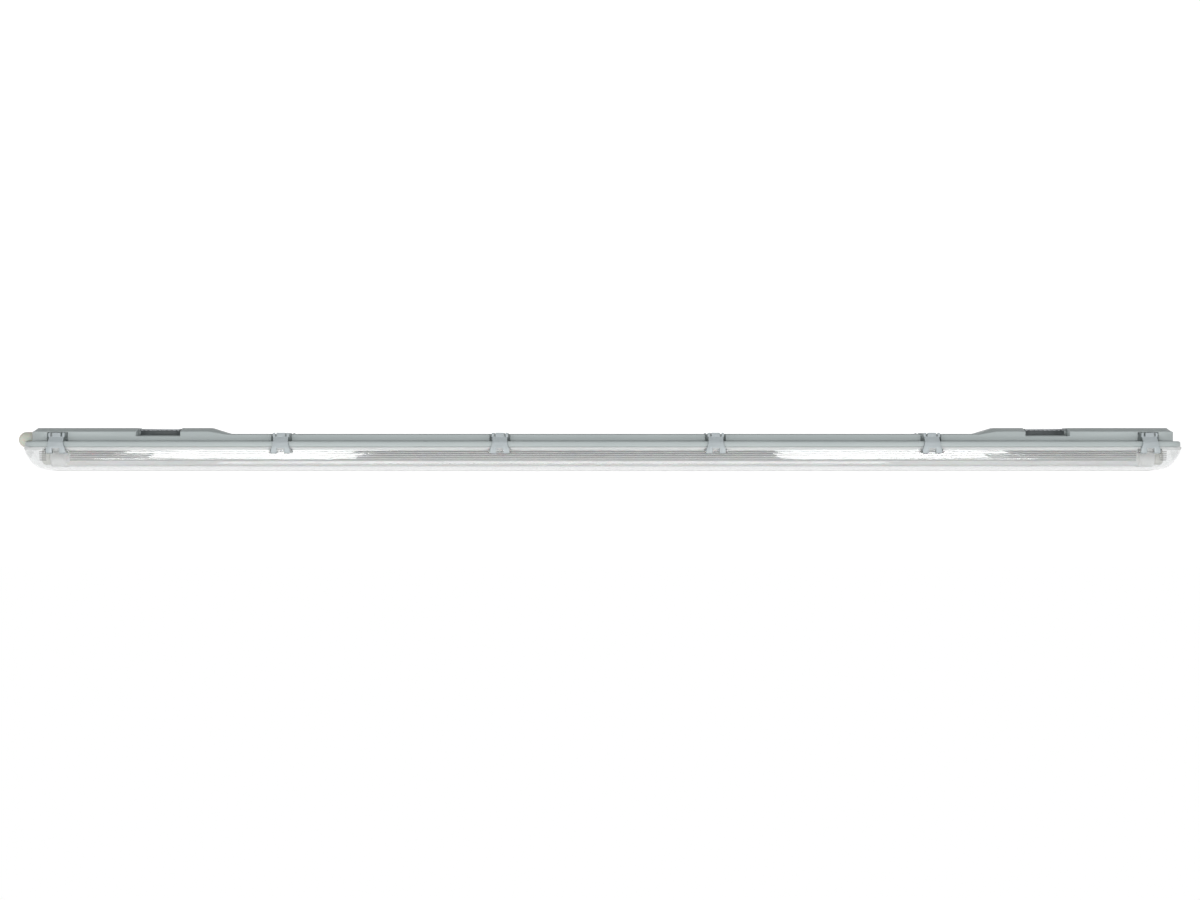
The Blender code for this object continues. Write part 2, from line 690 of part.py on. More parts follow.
def clip_front_outline():
    """Front view of a clip: two ears and a tongue above, a flared body, two feet below."""
    top = MID_TOP + CLIP_RISE - PIN_LEVEL
    ledge = LEDGE - PIN_LEVEL
    flare_end = FLANGE_BOTTOM - PIN_LEVEL
    bottom = -HOOK_OUTER - OVERRUN
    half = [
        (SLOT_FROM, top), (SLOT_FROM, top - EAR_HEIGHT), (SLOT_TO, top - EAR_HEIGHT), (SLOT_TO, top),
        (EAR_OUT - EAR_ROUND, top), (EAR_OUT, top - EAR_ROUND), (EAR_OUT, top - EAR_HEIGHT),
        (CLIP_HALF_BODY, top - EAR_HEIGHT - EAR_ROUND), (CLIP_HALF_BODY, ledge),
    ]
    for index in range(1, CLIP_TAPER_STEPS + 1):
        share = index / CLIP_TAPER_STEPS
        half.append((blend(CLIP_HALF_BODY, CLIP_HALF_FOOT, share ** 2), blend(ledge, flare_end, share)))
    toe = CLIP_HALF_FOOT - FOOT_ROUND
    half += [(CLIP_HALF_FOOT, -HOOK_OUTER + FOOT_ROUND), (toe, -HOOK_OUTER), (toe, bottom),
             (WINDOW_HALF, bottom), (WINDOW_HALF, -HOOK_OUTER + WINDOW_HEIGHT)]
    return half + [(-x, z) for x, z in reversed(half)]


def clip_mesh():
    """One clip about its pin's axis, outside towards -Y."""
    shape = bmesh.new()
    side_view = clip_side_outline()
    reach = CLIP_HALF_FOOT + OVERRUN
    add_rings(shape, [along_x(side_view, -reach), along_x(side_view, reach)])
    body = cutter("clip_body", shape)
    shape = bmesh.new()
    front_view = clip_front_outline()
    outside = PLATE_OUTER - PIN_OUT + OVERRUN
    inside = PIN_OUT - WALL_HALF_WIDTH
    add_rings(shape, [along_y(front_view, -outside), along_y(front_view, inside)])
    join_modifier(body, cutter("clip_outline", shape), "INTERSECT")
    shape = bmesh.new()
    tip = WALL_HALF_WIDTH - NOSE_BITE - PIN_OUT
    root = WALL_HALF_WIDTH + CLIP_STANDOFF + NOSE_ROOT - PIN_OUT
    low = CATCH_TOP + GAP - PIN_LEVEL
    high = low + NOSE_HEIGHT
    nose = ((tip, low), (root, low), (root, high + NOSE_TIP), (tip + NOSE_TIP, high), (tip, high - NOSE_TIP))
    nose = [(-out, up) for out, up in nose]
    add_rings(shape, [along_x(nose, -NOSE_HALF_LENGTH), along_x(nose, NOSE_HALF_LENGTH)])
    join_modifier(body, cutter("clip_nose", shape), "UNION")
    return baked_mesh(body, "clip")


def make_clips(finish, carrier):
    """Six clips a side, each on its pin; the rear ones are turned half round."""
    mesh = clip_mesh()
    for number, station in enumerate(CLIP_STATIONS, start=1):
        for row, side in (("front", -1), ("rear", 1)):
            clip = add_object(f"clip_{row}_{number}", mesh.copy(), finish, carrier)
            clip.location = (station, side * PIN_OUT, PIN_LEVEL)
            clip.rotation_euler.z = 0 if side < 0 else math.pi


def lip_outline():
    """Side view of a bracket lip with its row of square teeth."""
    high = -BRACKET_DROP - BRACKET_SHEET / 2
    low = high - LIP_HEIGHT
    notch = low + LIP_NOTCH
    pitch = 2 * BRACKET_HALF_LENGTH / LIP_TEETH
    outline = [(-BRACKET_HALF_LENGTH, high)]
    for index in range(LIP_TEETH):
        start = -BRACKET_HALF_LENGTH + pitch * index
        near = start + (pitch - LIP_TOOTH) / 2
        far = near + LIP_TOOTH
        outline += [(start, notch), (near, notch), (near, low), (far, low), (far, notch)]
    return outline + [(BRACKET_HALF_LENGTH, notch), (BRACKET_HALF_LENGTH, high)]


def leg_outline(side):
    """End view of a bracket leg, its foot hooked into the spine's groove."""
    near = SPINE_HALF_WIDTH + GAP
    far = near + BRACKET_SHEET
    foot = near - GROOVE_DEPTH
    groove = -NOTCH_DEPTH + GROOVE_RISE
    low, high = groove + GAP, groove + GROOVE_HEIGHT - GAP
    root = -BRACKET_DROP - BRACKET_SHEET / 2
    outline = ((near, root), (far, root), (far, low), (foot, low), (foot, high), (near, high))
    return [(side * out, up) for out, up in outline]


def make_bracket(name, middle, finish):
    """A saddle plate with toothed lips, two hooked legs and two screw slots."""
    shape = bmesh.new()
    add_block(shape, (-BRACKET_HALF_LENGTH, -BRACKET_HALF_WIDTH, -BRACKET_DROP - BRACKET_SHEET),
              (BRACKET_HALF_LENGTH, BRACKET_HALF_WIDTH, -BRACKET_DROP))
    plate = add_object(name, close_mesh(shape, name), finish)
    shape = bmesh.new()
    for side in SIDES:
        lip = lip_outline()
        add_rings(shape, [along_y(lip, side * BRACKET_HALF_WIDTH),
                          along_y(lip, side * (BRACKET_HALF_WIDTH - BRACKET_SHEET))])
        leg = leg_outline(side)
        add_rings(shape, [along_x(leg, -LEG_HALF_LENGTH), along_x(leg, LEG_HALF_LENGTH)])
    flaps = cutter(name + "_flaps", shape)
    join_modifier(plate, flaps, "UNION")
    shape = bmesh.new()
    for side in SIDES:
        slot = rounded_plan(BRACKET_SLOT_LENGTH / 2, BRACKET_SLOT_WIDTH / 2, BRACKET_SLOT_WIDTH / 2)
        slot = [(x + side * BRACKET_SLOT_OUT, y) for x, y in slot]
        add_rings(shape, [along_z(slot, -BRACKET_DROP - BRACKET_SHEET - OVERRUN), along_z(slot, OVERRUN)])
    slots = cutter(name + "_slots", shape)
    join_modifier(plate, slots, "DIFFERENCE")
    for piece in (plate, flaps, slots):
        piece.location.x = middle
    return plate


def turned(profile, sides, centre=(0, 0)):
    """Rings of a piece turned about an axis along X, from (x, radius) points."""
    return [along_x(circle(radius, sides, centre), x) for x, radius in profile]


def make_grommet(finish):
    """A soft dome with a collar groove, and a neck and lip through the end wall."""
    face = -WALL_HALF_LENGTH - GAP
    middle = face - DOME_STANDOFF
    flat = DOME_RADIUS - COLLAR_GROOVE
    profile = [(face, flat), (face - COLLAR_GAP, flat), (face - COLLAR_GAP, DOME_RADIUS)]
    turns = [index / DOME_STEPS * (math.pi / 2 - DOME_TIP) for index in range(DOME_STEPS + 1)]
    profile += [(middle - DOME_RADIUS * math.sin(turn), DOME_RADIUS * math.cos(turn)) for turn in turns]
    dome = ring_mesh("cable_grommet", turned(profile, ROUND_SIDES, (0, -DOME_DEPTH)))
    dome = add_object("cable_grommet", dome, finish)
    shape = bmesh.new()
    add_block(shape, (-RIM_HALF_LENGTH - GAP, -DOME_RADIUS - OVERRUN, -DOME_DEPTH - DOME_RADIUS - OVERRUN),
              (face + OVERRUN, DOME_RADIUS + OVERRUN, LEDGE + GAP))
    join_modifier(dome, cutter("dome_trim", shape), "DIFFERENCE")
    shape = bmesh.new()
    add_block(shape, (middle - DOME_RADIUS - OVERRUN, -DOME_RADIUS - OVERRUN, FLANGE_BOTTOM - OVERRUN),
              (face, DOME_RADIUS + OVERRUN, FLANGE_TOP + GAP))
    join_modifier(dome, cutter("dome_foot", shape), "DIFFERENCE")
    inside = -WALL_HALF_LENGTH + WALL + GAP
    neck = ENTRY_RADIUS - GAP
    profile = ((face - COLLAR_GAP, neck), (inside, neck), (inside, neck + GROMMET_LIP_WIDTH),
               (inside + GROMMET_LIP, neck + GROMMET_LIP_WIDTH / 2))
    stem = ring_mesh("grommet_stem", turned(profile, ROUND_SIDES, (0, -ENTRY_DEPTH)))
    join_modifier(dome, add_object("grommet_stem", stem), "UNION")
    blind, mouth = middle - DOME_RADIUS + GROMMET_SKIN, inside + GROMMET_LIP + OVERRUN
    profile = ((blind, GROMMET_BORE), (mouth, GROMMET_BORE))
    bore = ring_mesh("grommet_bore", turned(profile, SCREW_SIDES, (0, -ENTRY_DEPTH)))
    join_modifier(dome, add_object("grommet_bore", bore), "DIFFERENCE")
    return dome


def make_tray(finish):
    """The white sheet that carries lamp and wiring: a web with two upturned lips."""
    low, high, lip = TRAY_BOTTOM, TRAY_TOP, TRAY_TOP + TRAY_LIP
    wide, inner = TRAY_HALF_WIDTH, TRAY_HALF_WIDTH - TRAY_SHEET
    half = ((wide, low), (wide, lip), (inner, lip), (inner, high))
    outline = half + tuple((-y, z) for y, z in reversed(half))
    rings = [along_x(outline, -TRAY_HALF_LENGTH), along_x(outline, TRAY_HALF_LENGTH)]
    tray = add_object("gear_tray", ring_mesh("gear_tray", rings), finish)
    shape = bmesh.new()
    below, above = TRAY_BOTTOM - OVERRUN, TRAY_TOP + TRAY_SHEET
    for hole in (*screw_places(), (EARTH_X, EARTH_OUT)):
        outline = circle(SCREW_RADIUS + GAP, SCREW_SIDES, hole)
        add_rings(shape, [along_z(outline, below), along_z(outline, above)])
    for end in SIDES:
        near, far = end * (POST_START - GAP), end * (POST_START + POST_LENGTH + GAP)
        wide = POST_HALF_WIDTH + GAP
        add_block(shape, (min(near, far), -wide, below), (max(near, far), wide, above))
    join_modifier(tray, cutter("tray_holes", shape), "DIFFERENCE")
    return tray


def screw_rings(head_low, head_high, tip, x, y):
    """A pan head and a shank on an upright axis."""
    head = circle(SCREW_HEAD_RADIUS, SCREW_SIDES, (x, y))
    crown = circle(SCREW_HEAD_RADIUS - SCREW_HEAD / 2, SCREW_SIDES, (x, y))
    shank = circle(SCREW_RADIUS, SCREW_SIDES, (x, y))
    edge = blend(head_high, head_low, 1 / 2)
    chain = ((crown, head_high), (head, edge), (head, head_low), (shank, head_low), (shank, tip))
    return [along_z(outline, level) for outline, level in chain]


def make_screws(finish):
    """Four tray screws from below, and the earth screw from above."""
    for number, (x, y) in enumerate(screw_places(), start=1):
        low = TRAY_BOTTOM - GAP
        rings = screw_rings(low, low - SCREW_HEAD, TRAY_BOTTOM + SCREW_LENGTH - GAP, x, y)
        name = f"tray_screw_{number}"
        add_object(name, ring_mesh(name, rings), finish)
    low = TRAY_TOP + GAP
    rings = screw_rings(low, low + SCREW_HEAD, TRAY_BOTTOM - EARTH_STUB + TRAY_SHEET, EARTH_X, EARTH_OUT)
    add_object("earth_screw", ring_mesh("earth_screw", rings), finish)


def make_holder(name, end, finish):
    """A lampholder: rounded body, rotor pocket, pin slot and a post through the tray."""
    start, stop = end * HOLDER_START, end * HOLDER_END
    round_end = arc((0, LAMP_LEVEL), HOLDER_HALF_WIDTH, 0, -math.pi, SCREW_SIDES)
    outline = round_end + [(-HOLDER_HALF_WIDTH, TRAY_BOTTOM - GAP), (HOLDER_HALF_WIDTH, TRAY_BOTTOM - GAP)]
    body = add_object(name, ring_mesh(name, [along_x(outline, start), along_x(outline, stop)]), finish)
    shape = bmesh.new()
    near, far = end * POST_START, end * (POST_START + POST_LENGTH)
    add_block(shape, (min(near, far), -POST_HALF_WIDTH, TRAY_BOTTOM - GAP - TRAY_SHEET),
              (max(near, far), POST_HALF_WIDTH, TRAY_TOP + POST_HEIGHT))
    join_modifier(body, cutter(name + "_post", shape), "UNION")
    shape = bmesh.new()
    pocket = circle(ROTOR_RADIUS + GAP, LAMP_SIDES, (0, LAMP_LEVEL))
    floor = end * (HOLDER_END - HOLDER_BACK)
    add_rings(shape, [along_x(pocket, start - end * OVERRUN), along_x(pocket, floor)])
    join_modifier(body, cutter(name + "_pocket", shape), "DIFFERENCE")
    shape = bmesh.new()
    half = LAMP_PIN_RADIUS + 2 * GAP
    bounds = sorted((start - end * OVERRUN, end * (LAMP_HALF_LENGTH + LAMP_PIN_LENGTH + GAP)))
    lowest = LAMP_LEVEL - HOLDER_HALF_WIDTH - OVERRUN
    add_block(shape, (bounds[0], -half, lowest), (bounds[1], half, LAMP_LEVEL))
    join_modifier(body, cutter(name + "_slot", shape), "DIFFERENCE")
    return body


def make_lamp(axis, tube_finish, cap_finish, pin_finish, rotor_finish):
    """The lamp about its own axis: tube, caps, pins, and the rotors that turn with it."""
    socket_end = LAMP_HALF_LENGTH - CAP_LENGTH + CAP_SOCKET
    tube_end = socket_end - GAP
    tube = turned(((-tube_end, LAMP_RADIUS), (tube_end, LAMP_RADIUS)), LAMP_SIDES)
    add_object("lamp_tube", ring_mesh("lamp_tube", tube), tube_finish, axis)
    for end, word in zip(SIDES, ("left", "right")):
        bore = LAMP_RADIUS + GAP
        recess = PIN_BASE_RADIUS + GAP
        profile = (
            (socket_end, bore), (socket_end - CAP_SOCKET, bore), (socket_end - CAP_SOCKET, CAP_RADIUS),
            (LAMP_HALF_LENGTH - CAP_EDGE, CAP_RADIUS), (LAMP_HALF_LENGTH, CAP_RADIUS - CAP_EDGE),
            (LAMP_HALF_LENGTH, recess), (LAMP_HALF_LENGTH - PIN_BASE - GAP, recess),
        )
        rings = turned([(end * x, radius) for x, radius in profile], LAMP_SIDES)
        add_object("lamp_cap_" + word, ring_mesh("lamp_cap_" + word, rings), cap_finish, axis)
        add_pins("lamp_pins_" + word, end, pin_finish, axis)
        add_rotor("rotor_" + word, end, rotor_finish, axis)


def add_pins(name, end, finish, axis):
    """A round base in the cap's end with two contact pins."""
    low, high = end * (LAMP_HALF_LENGTH - PIN_BASE), end * LAMP_HALF_LENGTH
    rings = turned(((low, PIN_BASE_RADIUS), (high, PIN_BASE_RADIUS)), ROUND_SIDES)
    base = add_object(name, ring_mesh(name, rings), finish, axis)
    shape = bmesh.new()
    for side in SIDES:
        outline = circle(LAMP_PIN_RADIUS, SCREW_SIDES, (side * LAMP_PIN_SPREAD, 0))
        root, tip = end * (LAMP_HALF_LENGTH - PIN_BASE / 2), end * (LAMP_HALF_LENGTH + LAMP_PIN_LENGTH)
        add_rings(shape, [along_x(outline, root), along_x(outline, tip)])
    pins = cutter(name + "_pair", shape)
    pins.parent = axis
    join_modifier(base, pins, "UNION")


def add_rotor(name, end, finish, axis):
    """The round insert of a lampholder, slotted for the pins."""
    low, high = HOLDER_START + GAP, HOLDER_END - HOLDER_BACK - GAP
    rings = turned(((end * low, ROTOR_RADIUS), (end * high, ROTOR_RADIUS)), LAMP_SIDES)
    rotor = add_object(name, ring_mesh(name, rings), finish, axis)
    shape = bmesh.new()
    wide, tall = ROTOR_RADIUS + OVERRUN, LAMP_PIN_RADIUS + GAP
    bounds = sorted((end * (low - OVERRUN), end * (LAMP_HALF_LENGTH + LAMP_PIN_LENGTH + GAP)))
    add_block(shape, (bounds[0], -wide, -tall), (bounds[1], wide, tall))
    slot = cutter(name + "_slot", shape)
    slot.parent = axis
    join_modifier(rotor, slot, "DIFFERENCE")


def make_terminal_block(finish):
    """A three way block on the tray: a base with three towers and a screw well in each."""
    base_low = TRAY_TOP + GAP
    base_high = base_low + BLOCK_BASE
    top = base_high + BLOCK_TOWER
    wide = BLOCK_PITCH + BLOCK_TOWER_HALF_WIDTH + BLOCK_FLANGE
    outline = [(-wide, base_low), (wide, base_low), (wide, base_high)]
    for pole in (1, 0, -1):
        middle = pole * BLOCK_PITCH
        half = BLOCK_TOWER_HALF_WIDTH
        outline += [(middle + half, base_high), (middle + half, top - half / 2), (middle + half / 2, top),
                    (middle - half / 2, top), (middle - half, top - half / 2), (middle - half, base_high)]
    outline += [(-wide, base_high)]
    rings = [along_x(outline, BLOCK_START), along_x(outline, BLOCK_START + BLOCK_LENGTH)]
    block = add_object("terminal_block", ring_mesh("terminal_block", rings), finish)
    shape = bmesh.new()
    for pole in (1, 0, -1):
        for share in (1 / 4, 3 / 4):
            place = (BLOCK_START + BLOCK_LENGTH * share, pole * BLOCK_PITCH)
            well = circle(BLOCK_WELL_RADIUS, SCREW_SIDES, place)
            add_rings(shape, [along_z(well, top - BLOCK_WELL_DEPTH), along_z(well, top + OVERRUN)])
    join_modifier(block, cutter("block_wells", shape), "DIFFERENCE")
    return block


def smooth_route(corners, radius):
    """A route with each inner corner rounded by an arc-like curve of short steps."""
    corners = [Vector(corner) for corner in corners]
    route = [corners[0]]
    for before, corner, after in zip(corners, corners[1:], corners[2:]):
        enter = corner + (before - corner).normalized() * radius
        leave = corner + (after - corner).normalized() * radius
        for index in range(WIRE_STEPS + 1):
            share = index / WIRE_STEPS
            route.append(enter.lerp(corner, share).lerp(corner.lerp(leave, share), share))
    route.append(corners[-1])
    return route


def add_wire(name, corners, finish):
    """A round wire along a route."""
    curve = bpy.data.curves.new(name, "CURVE")
    curve.dimensions = "3D"
    curve.bevel_depth = WIRE_RADIUS
    curve.bevel_resolution = 1
    curve.use_fill_caps = True
    route = smooth_route(corners, WIRE_TURN / 2)
    spline = curve.splines.new("POLY")
    spline.points.add(len(route) - 1)
    for point, place in zip(spline.points, route):
        point.co = (*place, 1)
    wire = bpy.data.objects.new(name, curve)
    bpy.context.scene.collection.objects.link(wire)
    curve.materials.append(finish)
    return wire


def make_wires(live, neutral, earth):
    """Wires on the tray: live back to the near holder, neutral to the far one, earth to its screw."""
    start = BLOCK_START + BLOCK_LENGTH + GAP
    entry = TRAY_TOP + GAP + BLOCK_BASE / 2
    low = WIRE_LEVEL
    post = POST_START - GAP
    lane = POST_HALF_WIDTH / 2
    ring = EARTH_X - SCREW_HEAD_RADIUS - GAP
    add_wire("live_wire", (
        (start, -BLOCK_PITCH, entry), (start + WIRE_LEAD, -BLOCK_PITCH, entry),
        (start + WIRE_LEAD, -WIRE_LANE, low), (-post + WIRE_BACK, -WIRE_LANE, low),
        (-post + WIRE_BACK, -lane, low), (-post, -lane, low)), live)
    add_wire("neutral_wire", (
        (start, 0, entry), (start + WIRE_LEAD, 0, entry), (start + WIRE_LEAD + WIRE_TURN, 0, low),
        (post, 0, low)), neutral)
    add_wire("earth_wire", (
        (start, BLOCK_PITCH, entry), (start + WIRE_LEAD, BLOCK_PITCH, entry),
        (start + WIRE_LEAD + WIRE_TURN, EARTH_OUT, low), (ring, EARTH_OUT, low)), earth)


def main():
    """Build every piece with its own finish."""
    clear_scene()
    grey = material("grey_moulding", (0.42, 0.46, 0.46), 0.45)
    clear = material("clear_moulding", (0.85, 0.87, 0.88), 0.1, alpha=0.35)
    clip_grey = material("clip_moulding", (0.4, 0.45, 0.46), 0.4)
    foam = material("gasket_foam", (0.55, 0.55, 0.53), 0.9)
    steel = material("bracket_steel", (0.6, 0.6, 0.6), 0.35, 1.0)
    ivory = material("grommet_rubber", (0.6, 0.62, 0.55), 0.55)
    enamel = material("tray_enamel", (0.85, 0.86, 0.86), 0.35)
    screw_steel = material("screw_steel", (0.6, 0.6, 0.6), 0.3, 1.0)
    holder_white = material("holder_moulding", (0.85, 0.85, 0.83), 0.4)
    rotor_white = material("rotor_moulding", (0.8, 0.8, 0.78), 0.4)
    frosted = material("tube_frosted", (0.88, 0.89, 0.88), 0.5)
    cap_white = material("cap_moulding", (0.86, 0.86, 0.85), 0.35)
    brass = material("pin_brass", (0.72, 0.6, 0.35), 0.3, 1.0)
    block_white = material("block_moulding", (0.85, 0.85, 0.82), 0.45)
    brown = material("live_sleeve", (0.25, 0.12, 0.07), 0.5)
    blue = material("neutral_sleeve", (0.08, 0.2, 0.55), 0.5)
    green = material("earth_sleeve", (0.35, 0.55, 0.1), 0.5)

    make_housing(grey)
    make_gasket(foam)
    make_bracket("ceiling_bracket_left", -NOTCH_CENTRE, steel)
    make_bracket("ceiling_bracket_right", NOTCH_CENTRE, steel)
    make_grommet(ivory)
    make_tray(enamel)
    make_screws(screw_steel)
    make_holder("lampholder_left", -1, holder_white)
    make_holder("lampholder_right", 1, holder_white)
    make_terminal_block(block_white)
    make_wires(brown, blue, green)
    diffuser = make_diffuser(clear)
    make_clips(clip_grey, diffuser)
    axis = bpy.data.objects.new("lamp_axis", None)
    axis.location.z = LAMP_LEVEL
    bpy.context.scene.collection.objects.link(axis)
    make_lamp(axis, frosted, cap_white, brass, rotor_white)


main()
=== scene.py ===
"""Vapor tight light fixture, dressed and lit for a studio picture.

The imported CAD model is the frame. The housing, clips, brackets and holders are copies of
their CAD nodes with rounded edges; the diffuser, grommet, lamp and screws are modelled
anew at the CAD's sizes. Everything is in metres, +X along the fixture, +Z up.
"""

import json
import logging
import math
from dataclasses import dataclass, field
from enum import Enum
from typing import Iterable, Sequence

import bpy
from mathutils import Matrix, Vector


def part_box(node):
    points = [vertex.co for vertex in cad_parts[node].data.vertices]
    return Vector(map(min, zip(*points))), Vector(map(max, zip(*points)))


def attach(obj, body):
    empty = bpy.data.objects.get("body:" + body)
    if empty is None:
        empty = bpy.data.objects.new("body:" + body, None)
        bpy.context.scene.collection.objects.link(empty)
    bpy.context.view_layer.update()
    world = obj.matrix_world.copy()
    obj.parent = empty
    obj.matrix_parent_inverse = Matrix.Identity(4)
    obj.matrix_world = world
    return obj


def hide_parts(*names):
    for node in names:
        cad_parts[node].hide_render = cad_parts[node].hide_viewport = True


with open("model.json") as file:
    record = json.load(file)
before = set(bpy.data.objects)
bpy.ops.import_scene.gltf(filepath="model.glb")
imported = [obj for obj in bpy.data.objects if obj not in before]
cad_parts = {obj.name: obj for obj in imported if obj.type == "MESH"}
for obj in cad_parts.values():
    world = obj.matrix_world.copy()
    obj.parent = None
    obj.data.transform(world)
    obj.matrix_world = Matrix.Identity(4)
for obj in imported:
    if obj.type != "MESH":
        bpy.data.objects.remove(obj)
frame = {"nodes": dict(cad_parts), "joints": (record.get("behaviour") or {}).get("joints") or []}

LOG = logging.getLogger("fixture")
MM = 0.001
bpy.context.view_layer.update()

# In degrees: edges sharper than the first are rounded, and those flatter than the second shaded smooth
SHARP = 50
SMOOTH = 40
# Points closer than these are one, in a new piece and in a copy of a CAD node
MERGE = 0.001 * MM
NODE_MERGE = 0.002 * MM
# Faces of a CAD node that differ by fewer degrees are one flat face
FLAT = 0.5
# What all finishes share: how far pores melt together, how rolled lines are drawn out along X, the
# patterns' detail, the range of roughness, the bump and how deep light soaks in
PORE_BLEND = 0.6
ROLL_STRETCH = (0.06, 1, 1)
ROLL_DETAIL = 5.0
FINE_DETAIL = 2.0
DRIFT_DETAIL = 3.0
ROUGH_SHARES = (0.85, 1.15)
BUMP_STRENGTH = 0.35
SOAK_DEPTH = 2 * MM
WHITE = (1, 1, 1, 1)
TRAY_SCREWS = 4

Pair = tuple[float, float]
Pairs = tuple[Pair, ...]
Triple = tuple[float, float, float]
Colour = tuple[float, float, float, float]
Piece = bpy.types.Object


def linear(shade: str) -> Colour:
    """Turn an sRGB hex value into linear colour.

    Args:
        shade: Six hex digits, two for each channel.

    Returns:
        Red, green, blue and an alpha of one.
    """
    channels = [int(shade[place:place + 2], 16) / 255 for place in (0, 2, 4)]
    lit = [c / 12.92 if c <= 0.04045 else ((c + 0.055) / 1.055) ** 2.4 for c in channels]
    return (lit[0], lit[1], lit[2], 1.0)


def add_node(tree: bpy.types.NodeTree, kind: str, settings: dict | None = None,
             values: dict | None = None, links: dict | None = None) -> bpy.types.Node:
    """Add a shader node with its settings, socket values and incoming links.

    Args:
        tree: The node tree that gets the node.
        kind: Blender's name for the node type.
        settings: Properties of the node itself.
        values: Values for its input sockets.
        links: Output sockets that feed its input sockets.

    Returns:
        The new node.
    """
    node = tree.nodes.new(kind)
    for name, value in (settings or {}).items():
        setattr(node, name, value)
    for name, value in (values or {}).items():
        node.inputs[name].default_value = value
    for name, source in (links or {}).items():
        tree.links.new(source, node.inputs[name])
    return node


class Axis(Enum):
    """The axis that a drawn-out form runs along."""

    X = 0
    Z = 2


class Texture(Enum):
    """How a surface was made, which decides the pattern of its bump."""

    MOULDED = "moulded"
    ROLLED = "rolled"
    COATED = "coated"
    FOAMED = "foamed"


@dataclass(frozen=True)
class Finish:
    """A finish: what the surface is made of, how it was made, and how it meets light.

    Attributes:
        name: The material's own name.
        shade: Its colour as sRGB hex.
        second: The colour that it drifts to, as sRGB hex.
        roughness: The middle of its roughness range.
        texture: How the surface was made.
        grain: Size of the fine pattern in millimetres.
        relief: Height of the fine pattern in millimetres.
        drift: Size of the slow colour change in millimetres.
        metallic: One for bare metal.
        ior: Index of refraction.
        transmission: One for a clear body.
        coat: Weight of a clear coat.
        scatter: Weight of the light that soaks in.
    """

    name: str
    shade: str
    second: str
    roughness: float
    texture: Texture = Texture.MOULDED
    grain: float = 0.8
    relief: float = 0.02
    drift: float = 60.0
    metallic: float = 0.0
    ior: float = 1.5
    transmission: float = 0.0
    coat: float = 0.0
    scatter: float = 0.0

    def pattern(self, tree: bpy.types.NodeTree, where: bpy.types.NodeSocket) -> bpy.types.NodeSocket:
        """Add the fine pattern that the way of making leaves.

        Args:
            tree: The material's node tree.
            where: The socket that gives the place on the piece.

        Returns:
            The socket with the pattern's height.
        """
        scale = 1 / (self.grain * MM)
        if self.texture is Texture.FOAMED:
            cells = add_node(tree, "ShaderNodeTexVoronoi", {"feature": "SMOOTH_F1"},
                             {"Scale": scale, "Smoothness": PORE_BLEND}, {"Vector": where})
            return cells.outputs["Distance"]
        if self.texture is Texture.ROLLED:
            drawn = add_node(tree, "ShaderNodeMapping", None, {"Scale": ROLL_STRETCH}, {"Vector": where})
            where = drawn.outputs["Vector"]
        detail = ROLL_DETAIL if self.texture is Texture.ROLLED else FINE_DETAIL
        noise = add_node(tree, "ShaderNodeTexNoise", None, {"Scale": scale, "Detail": detail},
                         {"Vector": where})
        return noise.outputs["Fac"]

    def make(self) -> bpy.types.Material:
        """Build the node material: a slow drift in colour, and fine changes in roughness and height.

        Returns:
            The new material.
        """
        material = bpy.data.materials.new(self.name)
        material.use_nodes = True
        tree = material.node_tree
        tree.nodes.clear()
        where = add_node(tree, "ShaderNodeTexCoord").outputs["Object"]
        slow = add_node(tree, "ShaderNodeTexNoise", None,
                        {"Scale": 1 / (self.drift * MM), "Detail": DRIFT_DETAIL}, {"Vector": where})
        tint = add_node(tree, "ShaderNodeMix", {"data_type": "RGBA"},
                        {"A": linear(self.shade), "B": linear(self.second)}, {"Factor": slow.outputs["Fac"]})
        fine = self.pattern(tree, where)
        least, most = (self.roughness * share for share in ROUGH_SHARES)
        rough = add_node(tree, "ShaderNodeMapRange", None, {"To Min": least, "To Max": most}, {"Value": fine})
        bump = add_node(tree, "ShaderNodeBump", None,
                        {"Strength": BUMP_STRENGTH, "Distance": self.relief * MM}, {"Height": fine})
        shader = add_node(
            tree, "ShaderNodeBsdfPrincipled", None,
            {"Metallic": self.metallic, "IOR": self.ior, "Transmission Weight": self.transmission,
             "Coat Weight": self.coat, "Subsurface Weight": self.scatter, "Subsurface Scale": SOAK_DEPTH},
            {"Base Color": tint.outputs["Result"], "Roughness": rough.outputs["Result"],
             "Normal": bump.outputs["Normal"]})
        add_node(tree, "ShaderNodeOutputMaterial", None, None, {"Surface": shader.outputs["BSDF"]})
        return material


# Injection moulded polycarbonate, light cool grey: satin, even, slightly mottled by the flow
HOUSING_GREY = Finish("polycarbonate_grey_moulded", "AEB6B6", "A4ADAD", 0.42, grain=1.2, drift=90, ior=1.58)
# The same resin in a smaller mould: a little bluer and smoother
CLIP_GREY = Finish("polycarbonate_clip_moulded", "AEB6B9", "A7AFB2", 0.36, grain=0.9, drift=30, ior=1.58)
# Clear acrylic: water clear with a faint cool edge, gloss from a polished mould
CLEAR_ACRYLIC = Finish("acrylic_clear_moulded", "F7F8F8", "F4F5F5", 0.02, grain=60, relief=0.0003, drift=120,
                       ior=1.49, transmission=1.0)
# The same acrylic where the mould is satin, along the flange: it spreads light and looks pale
SATIN_ACRYLIC = Finish("acrylic_satin_moulded", "ECEEEE", "E6E8E8", 0.3, grain=1.2, relief=0.01, drift=90,
                       ior=1.49, transmission=0.35)
# Thermoplastic elastomer, ivory: soft and matt, light soaks in
IVORY_ELASTOMER = Finish("elastomer_ivory_moulded", "D2D4CA", "C6C9BB", 0.5, grain=0.7, drift=12,
                         scatter=0.15)
# Frosted polycarbonate tube: even matt white, light soaks in
FROSTED_TUBE = Finish("polycarbonate_tube_frosted", "FAFAF9", "F6F7F6", 0.38, grain=1.5, drift=200,
                      scatter=0.1)
